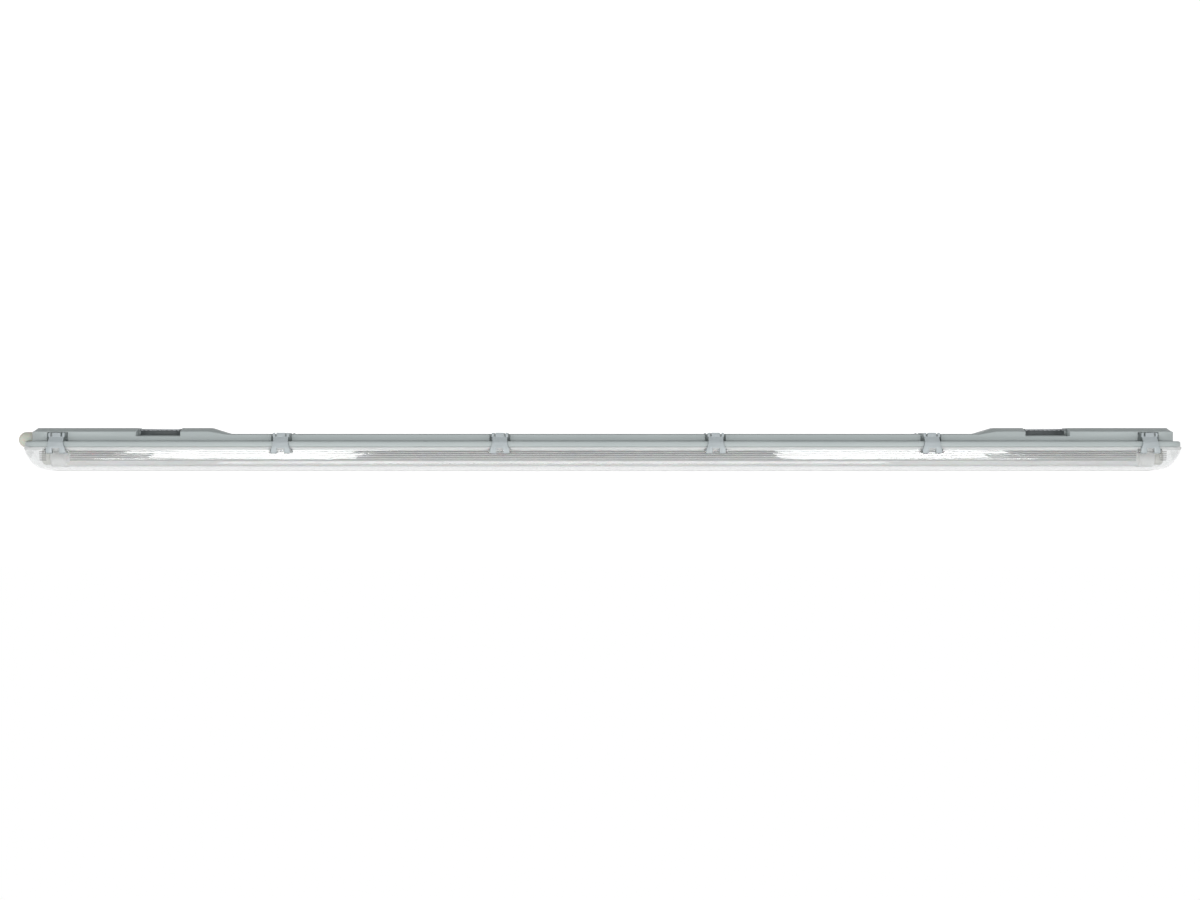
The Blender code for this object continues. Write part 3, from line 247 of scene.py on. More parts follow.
# Moulded end cap: glossy white
CAP_WHITE = Finish("polycarbonate_cap_moulded", "FDFDFC", "F9F9F8", 0.25, grain=1.0, drift=20)
# Powder coated steel sheet: bright white with a fine orange peel
WHITE_COAT = Finish("steel_white_powder_coated", "F2F3F2", "ECEEED", 0.32, Texture.COATED, grain=2.2,
                    relief=0.03, drift=150, coat=0.2)
# Cold rolled zinc plated steel: grey metal with fine lines along the sheet
ZINC_STEEL = Finish("steel_zinc_plated_rolled", "A0A3A5", "8B8E90", 0.45, Texture.ROLLED, grain=0.6,
                    relief=0.01, drift=9, metallic=1.0)
# Turned brass contact pins: warm yellow metal
BRASS = Finish("brass_turned", "C9A962", "B99750", 0.28, Texture.ROLLED, grain=0.3, drift=4, metallic=1.0)
# Thermoplastic polyester holder: satin white, faintly warm
HOLDER_WHITE = Finish("polyester_holder_moulded", "EDEDE8", "E4E4DE", 0.4, grain=0.8, drift=15)
# Thermoplastic polyester rotor: a shade greyer, so that it reads against the holder
ROTOR_WHITE = Finish("polyester_rotor_moulded", "E2E2DD", "D8D8D2", 0.38, grain=0.8, drift=10)
# Polyamide terminal block: milky off white
BLOCK_NYLON = Finish("polyamide_block_moulded", "E9E8DF", "DEDDD2", 0.42, grain=0.8, drift=12, scatter=0.1)
# Foamed polyurethane seal: pale grey, matt, with small pores
SEAL_FOAM = Finish("polyurethane_seal_foamed", "C4C4BF", "B4B4AF", 0.85, Texture.FOAMED, grain=0.9,
                   relief=0.25, drift=14)
# Extruded cable sleeves: smooth satin vinyl
BROWN_SLEEVE = Finish("vinyl_sleeve_brown", "6A432C", "5E3A26", 0.4, grain=1.2, drift=30)
BLUE_SLEEVE = Finish("vinyl_sleeve_blue", "2B5FA8", "25559A", 0.4, grain=1.2, drift=30)
GREEN_SLEEVE = Finish("vinyl_sleeve_green", "6FA13C", "B9B83A", 0.4, grain=1.2, drift=6)


class Paint:
    """Keeps one material for each finish, and puts it on pieces."""

    def __init__(self) -> None:
        """Start with no material made."""
        self.made: dict[str, bpy.types.Material] = {}

    def dress(self, piece: Piece, finish: Finish) -> None:
        """Give a piece one finish all over.

        Args:
            piece: The piece or CAD node to dress.
            finish: The finish that it gets.
        """
        if finish.name not in self.made:
            self.made[finish.name] = finish.make()
        if not piece.material_slots:
            piece.data.materials.append(self.made[finish.name])
        for place in piece.material_slots:
            place.material = self.made[finish.name]

    def trim(self, piece: Piece, finish: Finish, faces: Iterable[int]) -> None:
        """Give some faces of a dressed piece a second finish.

        Args:
            piece: The dressed piece.
            finish: The second finish.
            faces: The numbers of the faces that get it.
        """
        if finish.name not in self.made:
            self.made[finish.name] = finish.make()
        piece.data.materials.append(self.made[finish.name])
        for number in faces:
            piece.data.polygons[number].material_index = len(piece.data.materials) - 1


def clear() -> None:
    """Leave edit mode and deselect everything."""
    if bpy.context.object is not None and bpy.context.object.mode != "OBJECT":
        bpy.ops.object.mode_set(mode="OBJECT")
    bpy.ops.object.select_all(action="DESELECT")


def take(piece: Piece) -> None:
    """Select one piece alone and make it active.

    Args:
        piece: The piece to select.
    """
    clear()
    piece.select_set(True)
    bpy.context.view_layer.objects.active = piece


def plan(name: str, half: Pair, corner: float, steps: int, level: float) -> Piece:
    """Start a form from a rounded rectangle, in edit mode with its face selected.

    Args:
        name: The piece's name.
        half: Half length and half width.
        corner: Corner radius.
        steps: Facets round a corner.
        level: Its height.

    Returns:
        The new piece.
    """
    clear()
    bpy.ops.mesh.primitive_plane_add(size=2, location=(0, 0, level))
    piece = bpy.context.object
    piece.name = name
    bpy.ops.object.mode_set(mode="EDIT")
    bpy.ops.mesh.select_all(action="SELECT")
    bpy.ops.transform.resize(value=(half[0], half[1], 1), center_override=(0, 0, level))
    bpy.ops.mesh.bevel(offset=corner, offset_type="OFFSET", segments=steps, affect="VERTICES")
    bpy.ops.mesh.select_all(action="SELECT")
    return piece


def block(name: str, low: Triple, high: Triple) -> Piece:
    """Make a block between two corners, as the start of a piece or as a cutter.

    Args:
        name: The piece's name.
        low: Its lowest corner.
        high: Its highest corner.

    Returns:
        The new piece.
    """
    clear()
    middle = [(a + b) / 2 for a, b in zip(low, high)]
    size = [b - a for a, b in zip(low, high)]
    bpy.ops.mesh.primitive_cube_add(size=1, location=middle, scale=size)
    piece = bpy.context.object
    piece.name = name
    bpy.ops.object.transform_apply(location=True, rotation=True, scale=True)
    return piece


def draw_out(travel: Triple, scale: Triple, centre: Triple) -> None:
    """Extrude the selected face, then scale its new ring about a centre.

    Args:
        travel: How far the new ring moves.
        scale: How much it grows along each axis.
        centre: The point that it grows about.
    """
    bpy.ops.mesh.extrude_region_move(TRANSFORM_OT_translate={"value": travel})
    bpy.ops.transform.resize(value=scale, center_override=centre)


def turn(name: str, profile: Sequence[Pair], sides: int, centre: Pair, axis: Axis) -> Piece:
    """Make a turned form: a circle drawn out along its axis through a profile.

    Args:
        name: The piece's name.
        profile: Places along the axis, each with a radius.
        sides: Facets round the form.
        centre: The axis's two other coordinates, in the order of X, Y, Z.
        axis: The axis itself.

    Returns:
        The finished form at the origin, closed at both ends.
    """
    def place(along: float) -> Triple:
        """Give the point at a place along the axis."""
        return (along, *centre) if axis is Axis.X else (*centre, along)

    clear()
    start, radius = profile[0]
    facing = (0, math.pi / 2, 0) if axis is Axis.X else (0, 0, 0)
    bpy.ops.mesh.primitive_circle_add(vertices=sides, radius=radius, fill_type="NGON",
                                      location=place(start), rotation=facing)
    piece = bpy.context.object
    piece.name = name
    bpy.ops.object.mode_set(mode="EDIT")
    bpy.ops.mesh.select_all(action="SELECT")
    for along, wide in profile[1:]:
        grow = wide / radius
        step = Vector(place(along)) - Vector(place(start))
        scale = (1, grow, grow) if axis is Axis.X else (grow, grow, 1)
        draw_out(tuple(step), scale, place(along))
        start, radius = along, wide
    close(piece)
    return piece


def close(piece: Piece) -> None:
    """Merge doubles, face everything outwards, leave edit mode and apply the place.

    Args:
        piece: The piece in edit mode.
    """
    bpy.ops.mesh.select_all(action="SELECT")
    bpy.ops.mesh.remove_doubles(threshold=MERGE)
    bpy.ops.mesh.normals_make_consistent(inside=False)
    bpy.ops.object.mode_set(mode="OBJECT")
    bpy.ops.object.transform_apply(location=True, rotation=True, scale=True)


def shape(piece: Piece, tool: Piece, operation: str) -> None:
    """Cut or join a piece with a tool, and delete the tool.

    Args:
        piece: The piece that changes.
        tool: The object that cuts or joins.
        operation: DIFFERENCE or UNION.
    """
    take(piece)
    step = piece.modifiers.new("shape", "BOOLEAN")
    step.operation, step.object, step.solver = operation, tool, "EXACT"
    bpy.ops.object.modifier_apply(modifier=step.name)
    bpy.data.objects.remove(tool, do_unlink=True)


def soften(piece: Piece, width: float, steps: int, over: float) -> None:
    """Round the edges that are sharper than an angle.

    Args:
        piece: The piece to round.
        width: The width of the rounding.
        steps: Its facets.
        over: The least angle in degrees.
    """
    take(piece)
    step = piece.modifiers.new("soften", "BEVEL")
    step.width, step.segments, step.limit_method = width, steps, "ANGLE"
    step.angle_limit, step.use_clamp_overlap = math.radians(over), True
    step.harden_normals = False
    bpy.ops.object.modifier_apply(modifier=step.name)


def smooth(piece: Piece, angle: float) -> None:
    """Shade smooth across edges that are flatter than an angle in degrees."""
    take(piece)
    bpy.ops.object.shade_smooth_by_angle(angle=math.radians(angle))


def join(pieces: Sequence[Piece]) -> Piece:
    """Join several pieces into the first one's mesh.

    Args:
        pieces: The pieces to join.

    Returns:
        The first piece, with all of them.
    """
    clear()
    for piece in pieces:
        piece.select_set(True)
    bpy.context.view_layer.objects.active = pieces[0]
    bpy.ops.object.join()
    return pieces[0]


def repeat(piece: Piece, places: Iterable[tuple[Triple, float]]) -> Piece:
    """Copy a piece to several places in one mesh, and delete the piece.

    Args:
        piece: The piece to copy.
        places: Each copy's offset, and its turn about Z.

    Returns:
        The joined copies.
    """
    copies = []
    for offset, angle in places:
        take(piece)
        bpy.ops.object.duplicate()
        copy = bpy.context.object
        copy.location, copy.rotation_euler = offset, (0, 0, angle)
        bpy.ops.object.transform_apply(location=True, rotation=True, scale=True)
        copies.append(copy)
    bpy.data.objects.remove(piece, do_unlink=True)
    return join(copies)


def copy_node(node: str, name: str) -> Piece:
    """Copy a CAD node's mesh, merged and with its flat faces joined.

    Args:
        node: The CAD node's name.
        name: The new piece's name.

    Returns:
        The new piece, at the origin.
    """
    mesh = frame["nodes"][node].data.copy()
    mesh.materials.clear()
    piece = bpy.data.objects.new(name, mesh)
    bpy.context.scene.collection.objects.link(piece)
    take(piece)
    bpy.ops.object.mode_set(mode="EDIT")
    bpy.ops.mesh.select_all(action="SELECT")
    bpy.ops.mesh.remove_doubles(threshold=NODE_MERGE)
    bpy.ops.mesh.dissolve_limited(angle_limit=math.radians(FLAT))
    bpy.ops.object.mode_set(mode="OBJECT")
    return piece


@dataclass
class Assembly:
    """A sub-assembly of the fixture.

    Attributes:
        paint: Keeps the materials.
    """

    paint: Paint

    def settle(self, piece: Piece, finish: Finish, body: str, slot: str, nodes: Iterable[str],
               angle: float = SMOOTH) -> None:
        """Smooth and dress a finished piece, and put it on its body in place of its CAD nodes.

        Args:
            piece: The finished piece.
            finish: The finish that it gets.
            body: The CAD body that it rides on.
            slot: The record's material slot. Not used.
            nodes: The CAD nodes that it replaces.
            angle: Largest angle that is shaded smooth, in degrees.
        """
        smooth(piece, angle)
        self.paint.dress(piece, finish)
        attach(piece, body)
        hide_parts(*nodes)
        LOG.info("%s rides on %s, %d faces", piece.name, body, len(piece.data.polygons))

    def round_copy(self, node: str, name: str, finish: Finish, body: str, slot: str, width: float,
                   steps: int = 2) -> None:
        """Settle a copy of a CAD node with rounded edges.

        Args:
            node: The CAD node, which the copy replaces.
            name: The new piece's name.
            finish: The finish that it gets.
            body: The CAD body that it rides on.
            slot: The record's material slot.
            width: The width of the rounding.
            steps: The rounding's facets.
        """
        piece = copy_node(node, name)
        soften(piece, width, steps, SHARP)
        self.settle(piece, finish, body, slot, [node])


def through(points: Sequence[Pair], place: float) -> float:
    """Read a smooth curve through points at one place.

    Args:
        points: Pairs of place and value, in order.
        place: Where the curve is read.

    Returns:
        The value there.
    """
    for index in range(len(points) - 1):
        (x1, y1), (x2, y2) = points[index], points[index + 1]
        if place <= x2 or index == len(points) - 2:
            x0, y0 = points[max(index - 1, 0)]
            x3, y3 = points[min(index + 2, len(points) - 1)]
            span = x2 - x1
            rise = (y2 - y0) / (x2 - x0) * span
            fall = (y3 - y1) / (x3 - x1) * span
            t = min(max((place - x1) / span, 0), 1)
            return ((2 * t ** 3 - 3 * t ** 2 + 1) * y1 + (t ** 3 - 2 * t ** 2 + t) * rise
                    + (3 * t ** 2 - 2 * t ** 3) * y2 + (t ** 3 - t ** 2) * fall)
    return points[-1][1]


@dataclass
class Body(Assembly):
    """The fixed parts that keep their CAD form, with rounded edges.

    Attributes:
        edge: Rounding of the housing's edges.
        holder_edge: Rounding of the lampholders' edges.
        sheet_edge: Rounding of the pressed sheet's edges.
    """

    edge: float = 0.5 * MM
    holder_edge: float = 0.3 * MM
    sheet_edge: float = 0.15 * MM

    def build(self) -> None:
        """Round and dress the housing, the brackets and the lampholders."""
        self.round_copy("housing", "housing_shell", HOUSING_GREY, "fixture", "housing_grey", self.edge)
        for end in ("left", "right"):
            self.round_copy(f"ceiling_bracket_{end}", f"bracket_saddle_{end}", ZINC_STEEL, "fixture",
                            "bracket_steel", self.sheet_edge, steps=1)
            self.round_copy(f"lampholder_{end}", f"holder_body_{end}", HOLDER_WHITE, "fixture",
                            "holder_white", self.holder_edge)


@dataclass
class Grommet(Assembly):
    """The soft dome over the cable entry, with its collar and its stem through the wall.

    Attributes:
        wall: Where the housing's end wall stands.
        standoff: Length of the dome's straight part.
        radius: The dome's radius.
        level: The dome's axis height.
        collar: Distance from the wall and depth below the radius, in millimetres.
        crown_start: First angle of the dome's round end, in degrees.
        crown_turn: How far it turns, in degrees.
        crown_steps: Facets along it.
        cuts: The cuts that clear rim and flange, with their corners in millimetres.
        stem_level: The stem's axis height.
        stem_root: How far the stem reaches into the dome.
        bead: Places and radii of the bead behind the wall, in millimetres.
        edge: Rounding of the edges.
        sharp: Least angle of an edge that is rounded, in degrees.
        sides: Facets round the dome.
        stem_sides: Facets round the stem.
    """

    wall: float = -774.8 * MM
    standoff: float = 10.5 * MM
    radius: float = 10.7 * MM
    level: float = -16 * MM
    collar: Pairs = ((0, 1.1), (0.8, 1.1), (0.9, 0), (2.4, 0), (2.6, 0.35), (3.0, 0.35), (3.2, 0))
    crown_start: float = 4
    crown_turn: float = 83
    crown_steps: int = 16
    cuts: tuple[tuple[str, Triple, Triple], ...] = (
        ("over_rim", (-783.3, -20, -40), (-760, 20, -17.7)),
        ("over_flange", (-800, -20, -40), (-760, 20, -25.5)))
    stem_level: float = -13.2 * MM
    stem_root: float = 1 * MM
    bead: Pairs = ((-772, 3.9), (-771.9, 4.9), (-770.7, 4.4))
    edge: float = 0.25 * MM
    sharp: float = 45
    sides: int = 64
    stem_sides: int = 32

    def build(self) -> None:
        """Turn the dome, trim it round rim and flange, and join the stem."""
        middle = self.wall - self.standoff
        profile = [(self.wall - out * MM, self.radius - under * MM) for out, under in self.collar]
        for step in range(self.crown_steps + 1):
            angle = math.radians(self.crown_start + self.crown_turn * step / self.crown_steps)
            profile.append((middle - self.radius * math.sin(angle), self.radius * math.cos(angle)))
        dome = turn("grommet_dome", profile, self.sides, (0, self.level), Axis.X)
        for name, *corners in self.cuts:
            low, high = (tuple(value * MM for value in corner) for corner in corners)
            shape(dome, block(name, low, high), "DIFFERENCE")
        neck = [(self.wall - self.stem_root, self.bead[0][1] * MM)]
        stem = turn("stem", neck + [(x * MM, radius * MM) for x, radius in self.bead], self.stem_sides,
                    (0, self.stem_level), Axis.X)
        shape(dome, stem, "UNION")
        soften(dome, self.edge, steps=2, over=self.sharp)
        self.settle(dome, IVORY_ELASTOMER, "fixture", "grommet_rubber", ["cable_grommet"])


@dataclass
class Screw(Assembly):
    """A pan head screw with a cross recess.

    Attributes:
        name: The piece's name.
        node: The CAD node that it stands for.
        head_radius: Radius of the head.
        head_height: Its height.
        head_shares: Shares of its height at which it has a ring.
        crown_power: How square its shoulder is.
        head_room: Share of its radius that is drawn, to stay inside the CAD's.
        shank_radius: Radius of the shank.
        tip_height: Height of the tip's taper.
        tip_share: Share of the shank's radius at the tip.
        cross_reach: Half length of the recess's arms.
        cross_half: Half width of the arms.
        cross_depth: Depth of the recess.
        overrun: How far its cutter stands out of the head.
        smooth: Largest angle that is shaded smooth, in degrees.
        sides: Facets round the screw.
    """

    name: str
    node: str
    head_radius: float = 3.4 * MM
    head_height: float = 1.5 * MM
    head_shares: tuple[float, ...] = (0.03, 0.1, 0.25, 0.5, 0.75, 1.0)
    crown_power: float = 2.4
    head_room: float = 0.999
    shank_radius: float = 1.5 * MM
    tip_height: float = 0.6 * MM
    tip_share: float = 0.6
    cross_reach: float = 1.7 * MM
    cross_half: float = 0.45 * MM
    cross_depth: float = 0.9 * MM
    overrun: float = 1 * MM
    smooth: float = 35
    sides: int = 32

    def build(self) -> None:
        """Turn head and shank at the CAD's place, and cut the cross."""
        low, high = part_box(self.node)
        x, y = (low.x + high.x) / 2, (low.y + high.y) / 2
        way = 1 if self.node.startswith("tray") else -1
        head, tip = (low.z, high.z) if way > 0 else (high.z, low.z)
        profile = [(head + way * self.head_height * share,
                    self.head_radius * math.sqrt(1 - (1 - share) ** self.crown_power) * self.head_room)
                   for share in self.head_shares]
        profile += [(head + way * self.head_height, self.shank_radius),
                    (tip - way * self.tip_height, self.shank_radius),
                    (tip, self.shank_radius * self.tip_share)]
        piece = turn(self.name, profile, self.sides, (x, y), Axis.Z)
        bottom, top = sorted((head - way * self.overrun, head + way * self.cross_depth))
        for half_x, half_y in ((self.cross_reach, self.cross_half), (self.cross_half, self.cross_reach)):
            cutter = block("cross", (x - half_x, y - half_y, bottom), (x + half_x, y + half_y, top))
            shape(piece, cutter, "DIFFERENCE")
        self.settle(piece, ZINC_STEEL, "fixture", "screw_steel", [self.node], self.smooth)


@dataclass
class Lamp(Assembly):
    """The tube lamp with its two end caps.

    Attributes:
        level: Height of its axis.
        half: Half its length over the caps.
        tube_radius: Radius of the tube.
        tube_edge: Bevel of the tube's ends.
        cap_radius: Radius of the caps.
        cap_length: Length of a cap.
        socket_depth: How deep the tube sits in a cap.
        clearance: Gap between the tube and a cap.
        skirt: Distance from a cap's mouth and depth below its radius, in millimetres.
        crown: The same from its end.
        base_radius: Radius of the pocket for the pin base.
        base_depth: Its depth.
        sides: Facets round tube and caps.
    """

    level: float = -40.5 * MM
    half: float = 750 * MM
    tube_radius: float = 12.6 * MM
    tube_edge: float = 0.4 * MM
    cap_radius: float = 13.5 * MM
    cap_length: float = 22 * MM
    socket_depth: float = 4 * MM
    clearance: float = 0.3 * MM
    skirt: Pairs = ((0, 0.3), (0.3, 0), (3.4, 0), (3.7, 0.25), (4.3, 0.25), (4.6, 0))
    crown: Pairs = ((1.4, 0), (0.5, 0.4), (0, 1.3))
    base_radius: float = 9.3 * MM
    base_depth: float = 1.3 * MM
    sides: int = 64

    def build(self) -> None:
        """Turn the tube and both caps."""
        socket = self.half - self.cap_length + self.socket_depth
        end, lip = socket - self.clearance, socket - self.socket_depth
        narrow = self.tube_radius - self.tube_edge
        tube = turn("tube_frosted", [(-end, narrow), (-end + self.tube_edge, self.tube_radius),
                                     (end - self.tube_edge, self.tube_radius), (end, narrow)],
                    self.sides, (0, self.level), Axis.X)
        self.settle(tube, FROSTED_TUBE, "lamp", "tube_frosted", ["lamp_tube"])
        bore = self.tube_radius + self.clearance
        profile = [(socket, bore), (lip, bore)]
        profile += [(lip + along * MM, self.cap_radius - under * MM) for along, under in self.skirt]
        profile += [(self.half - back * MM, self.cap_radius - under * MM) for back, under in self.crown]
        profile += [(self.half, self.base_radius), (self.half - self.base_depth, self.base_radius)]
        for side, word in ((-1, "left"), (1, "right")):
            cap = turn(f"cap_{word}", [(side * x, radius) for x, radius in profile], self.sides,
                       (0, self.level), Axis.X)
            self.settle(cap, CAP_WHITE, "lamp", "cap_white", [f"lamp_cap_{word}"])


@dataclass
class Diffuser(Assembly):
    """The clear tub with its flange, its tongue, fine ridges inside, and lugged pins.

    Attributes:
        flange_half: The flange's half length and half width.
        flange_top: Height of its upper face.
        flange_bottom: Height of its lower face.
        top_edge: Drop and set-back along its upper edge, in millimetres.
        bottom_edge: Lift and set-back along its lower edge, in millimetres.
        end_edge_share: Share of the lower set-back at the ends.
        corner: Its corner radius.
        corner_steps: Facets round a corner.
        tongue_top: Height of the tongue that presses on the seal.
        tongue_root: Height of its inner foot over the flange's lower face.
        tongue_half: Its outer half sizes.
        tongue_wall: Its thickness.
        tongue_edge: Its bevel.
        wall: Thickness of the tub.
        depth: Its depth below the flange.
        side: Its half width at the flange.
        taper: How far its ends come in at the bottom.
        end_shares: Share of the taper at shares of the depth.
        side_shares: Share of the half width lost at shares of the depth.
        level_shares: Shares of the depth at which the tub has a ring.
        slope_share: Half the share of the depth over which its slope is measured.
        least_half: Half width of the narrowest inner ring.
        band_low: Lower edge of the satin band along the flange.
        ridge_first: Height of the first ridge.
        ridge_pitch: Distance from ridge to ridge.
        ridge_count: Number of ridges on each side.
        ridge_stand: How far a ridge stands off the wall, as a square edge.
        ridge_sides: Sides of a ridge's bar.
        ridge_tip_share: Share of a ridge's size at its ends.
        ridge_spans: Where the ridges run. The wall is smooth at the lamp's caps and the ends.
        pin_half: Half length of a clip's pin.
        pin_out: How far out it lies.
        pin_level: Its height.
        pin_radius: Its radius.
        pin_sides: Facets round it.
        pin_seat: How far it reaches into its lugs.
        lug_thick: Thickness of a lug.
        lug_low: How far it reaches outwards and below the pin.
        lug_high: How far it reaches inwards and above.
        lug_edge: Its rounding.
        lug_sharp: Least angle of its edges that is rounded, in degrees.
        smooth: Largest angle that is shaded smooth, in degrees.
    """

    flange_half: Pair = (784.5 * MM, 33 * MM)
    flange_top: float = -25.8 * MM
    flange_bottom: float = -28.6 * MM
    top_edge: Pairs = ((0, 0.5), (0.15, 0.15), (0.5, 0))
    bottom_edge: Pairs = ((0.7, 0), (0.2, 0.2), (0, 0.7))
    end_edge_share: float = 0.3
    corner: float = 19 * MM
    corner_steps: int = 14
    tongue_top: float = -23.3 * MM
    tongue_root: float = 1.4 * MM
    tongue_half: Pair = (779.3 * MM, 29.3 * MM)
    tongue_wall: float = 1.8 * MM
    tongue_edge: float = 0.5 * MM
    wall: float = 2 * MM
    depth: float = 30.4 * MM
    side: float = 29.5 * MM
    taper: float = 50 * MM
    end_shares: Pairs = (
        (0, 0.004), (0.13, 0.01), (0.31, 0.068), (0.49, 0.135), (0.59, 0.175), (0.71, 0.24), (0.82, 0.33),
        (0.89, 0.43), (0.95, 0.58), (0.985, 0.76), (1, 1))
    side_shares: Pairs = (
        (0, 0), (0.13, 0.009), (0.25, 0.02), (0.37, 0.034), (0.49, 0.05), (0.59, 0.073), (0.71, 0.13),
        (0.82, 0.23), (0.89, 0.345), (0.95, 0.51), (0.985, 0.71), (1, 0.88))
    level_shares: tuple[float, ...] = (
        0, 0.06, 0.13, 0.2, 0.27, 0.34, 0.41, 0.48, 0.54, 0.6, 0.66, 0.71, 0.76, 0.8, 0.84, 0.87, 0.9, 0.925,
        0.95, 0.965, 0.98, 0.99, 1)
    slope_share: float = 0.01
    least_half: float = 2 * MM
    band_low: float = -29.8 * MM
    ridge_first: float = -32.4 * MM
    ridge_pitch: float = 2.72 * MM
    ridge_count: int = 5
    ridge_stand: float = 0.68 * MM
    ridge_sides: int = 4
    ridge_tip_share: float = 0.1
    ridge_spans: Pairs = ((-761 * MM, -751 * MM), (-720 * MM, 720 * MM), (751 * MM, 761 * MM))
    pin_half: float = 13.6 * MM
    pin_out: float = 33.15 * MM
    pin_level: float = -31.8 * MM
    pin_radius: float = 1.2 * MM
    pin_sides: int = 24
    pin_seat: float = 0.2 * MM
    lug_thick: float = 2 * MM
    lug_low: Pair = (2.25 * MM, 2.2 * MM)
    lug_high: Pair = (4.35 * MM, 4.2 * MM)
    lug_edge: float = 0.7 * MM
    lug_sharp: float = 60
    smooth: float = 30

    def outer(self, share: float) -> Triple:
        """Find the outside of the tub at one height.

        Args:
            share: Share of the depth below the flange.

        Returns:
            Height, half length and half width there.
        """
        length = self.flange_half[0] - self.taper * through(self.end_shares, share)
        return (self.flange_bottom - self.depth * share, length,
                self.side * (1 - through(self.side_shares, share)))

    def inner(self, share: float) -> Triple:
        """Find the inside of the tub, one wall in from the outside and square to it.

        Args:
            share: Share of the depth below the flange.

        Returns:
            Height, half length and half width there.
        """
        level, length, width = self.outer(share)
        above = self.outer(max(share - self.slope_share, 0))
        below = self.outer(min(share + self.slope_share, 1))
        fall, side, end = above[0] - below[0], above[2] - below[2], above[1] - below[1]
        side_run, end_run = math.hypot(fall, side), math.hypot(fall, end)
        return (level + self.wall * side / side_run, length - self.wall * fall / end_run,
                width - self.wall * fall / side_run)

    def levels(self) -> list[Triple]:
        """List every ring from the inside floor, over tongue and flange, to the underside.

        Returns:
            Height, half length and half width of each ring.
        """
        inside = [self.inner(share) for share in reversed(self.level_shares)]
        inside = [ring for ring in inside if ring[2] > self.least_half]
        tongue_in = (self.tongue_half[0] - self.tongue_wall, self.tongue_half[1] - self.tongue_wall)
        bevel = self.tongue_edge
        rim = [(self.flange_bottom + self.tongue_root, *tongue_in), (self.tongue_top - bevel, *tongue_in),
               (self.tongue_top, tongue_in[0] + bevel, tongue_in[1] + bevel),
               (self.tongue_top, self.tongue_half[0] - bevel, self.tongue_half[1] - bevel),
               (self.tongue_top - bevel, *self.tongue_half), (self.flange_top, *self.tongue_half)]
        for drop, back in self.top_edge:
            rim.append((self.flange_top - drop * MM, self.flange_half[0] - back * MM,
                        self.flange_half[1] - back * MM))
        for lift, back in self.bottom_edge:
            rim.append((self.flange_bottom + lift * MM, self.flange_half[0] - back * MM * self.end_edge_share,
                        self.flange_half[1] - back * MM))
        return inside + rim + [self.outer(share) for share in self.level_shares]

    def build(self) -> None:
        """Draw the tub out ring by ring, then join the lugs, pins and ridges."""
        rings = self.levels()
        start, length, width = rings[0]
        tub = plan("diffuser_tub", self.flange_half, self.corner, self.corner_steps, start)
        bpy.ops.transform.resize(value=(length / self.flange_half[0], width / self.flange_half[1], 1),
                                 center_override=(0, 0, start))
        for level, new_length, new_width in rings[1:]:
            draw_out((0, 0, level - start), (new_length / length, new_width / width, 1), (0, 0, level))
            start, length, width = level, new_length, new_width
        close(tub)
        shape(tub, self.hinges(), "UNION")
        shape(tub, self.ridges(), "UNION")
        self.settle(tub, CLEAR_ACRYLIC, "cover", "diffuser_clear", ["diffuser"], self.smooth)
        band = [face.index for face in tub.data.polygons if face.center.z > self.band_low]
        self.paint.trim(tub, SATIN_ACRYLIC, band)

    def hinge(self) -> Piece:
        """Model one pin between two lugs, as on the front at the middle of the fixture.

        Returns:
            Pin and lugs in one mesh.
        """
        out, level = -self.pin_out, self.pin_level
        pin = turn("pin", [(-self.pin_half, self.pin_radius), (self.pin_half, self.pin_radius)],
                   self.pin_sides, (out, level), Axis.X)
        near = self.pin_half - self.pin_seat
        for start in (-near - self.lug_thick, near):
            lug = block("lug", (start, out - self.lug_low[0], level - self.lug_low[1]),
                        (start + self.lug_thick, out + self.lug_high[0], level + self.lug_high[1]))
            soften(lug, self.lug_edge, steps=3, over=self.lug_sharp)
            shape(pin, lug, "UNION")
        return pin

    def hinges(self) -> Piece:
        """Copy the pin and its lugs to every clip.

        Returns:
            All of them in one mesh.
        """
        joints = [joint["pos_m"] for joint in frame["joints"] if joint["name"].startswith("clip_")]
        return repeat(self.hinge(), [((x, 0, 0), math.pi if y > 0 else 0) for x, y, _ in joints])

    def ridges(self) -> Piece:
        """Model the prism ridges of both long sides.

        Returns:
            All of them in one mesh.
        """
        places = []
        for number in range(self.ridge_count):
            level = self.ridge_first - self.ridge_pitch * number
            width = self.inner((self.flange_bottom - level) / self.depth)[2]
            places += [((0, side * width, level), 0) for side in (-1, 1)]
        stand, tip = self.ridge_stand, self.ridge_stand * self.ridge_tip_share
        spans = []
        for start, end in self.ridge_spans:
            profile = [(start, tip), (start + stand, stand), (end - stand, stand), (end, tip)]
            bar = turn("ridge", profile, self.ridge_sides, (0, 0), Axis.X)
            spans.append(repeat(bar, places))
        return join(spans)


@dataclass
class Clips(Assembly):
    """The twelve clips, from their CAD nodes with rounded edges.

    Attributes:
        edge: Rounding of the edges. A wider one would fold over the slots beside the bend.
        count: Clips on each long side.
    """

    edge: float = 0.22 * MM
    count: int = 6

    def build(self) -> None:
        """Round and dress each clip on its own body."""
        for row in ("front", "rear"):
            for number in range(1, self.count + 1):
                node = f"clip_{row}_{number}"
                self.round_copy(node, f"latch_{row}_{number}", CLIP_GREY, node, "clip_grey", self.edge)


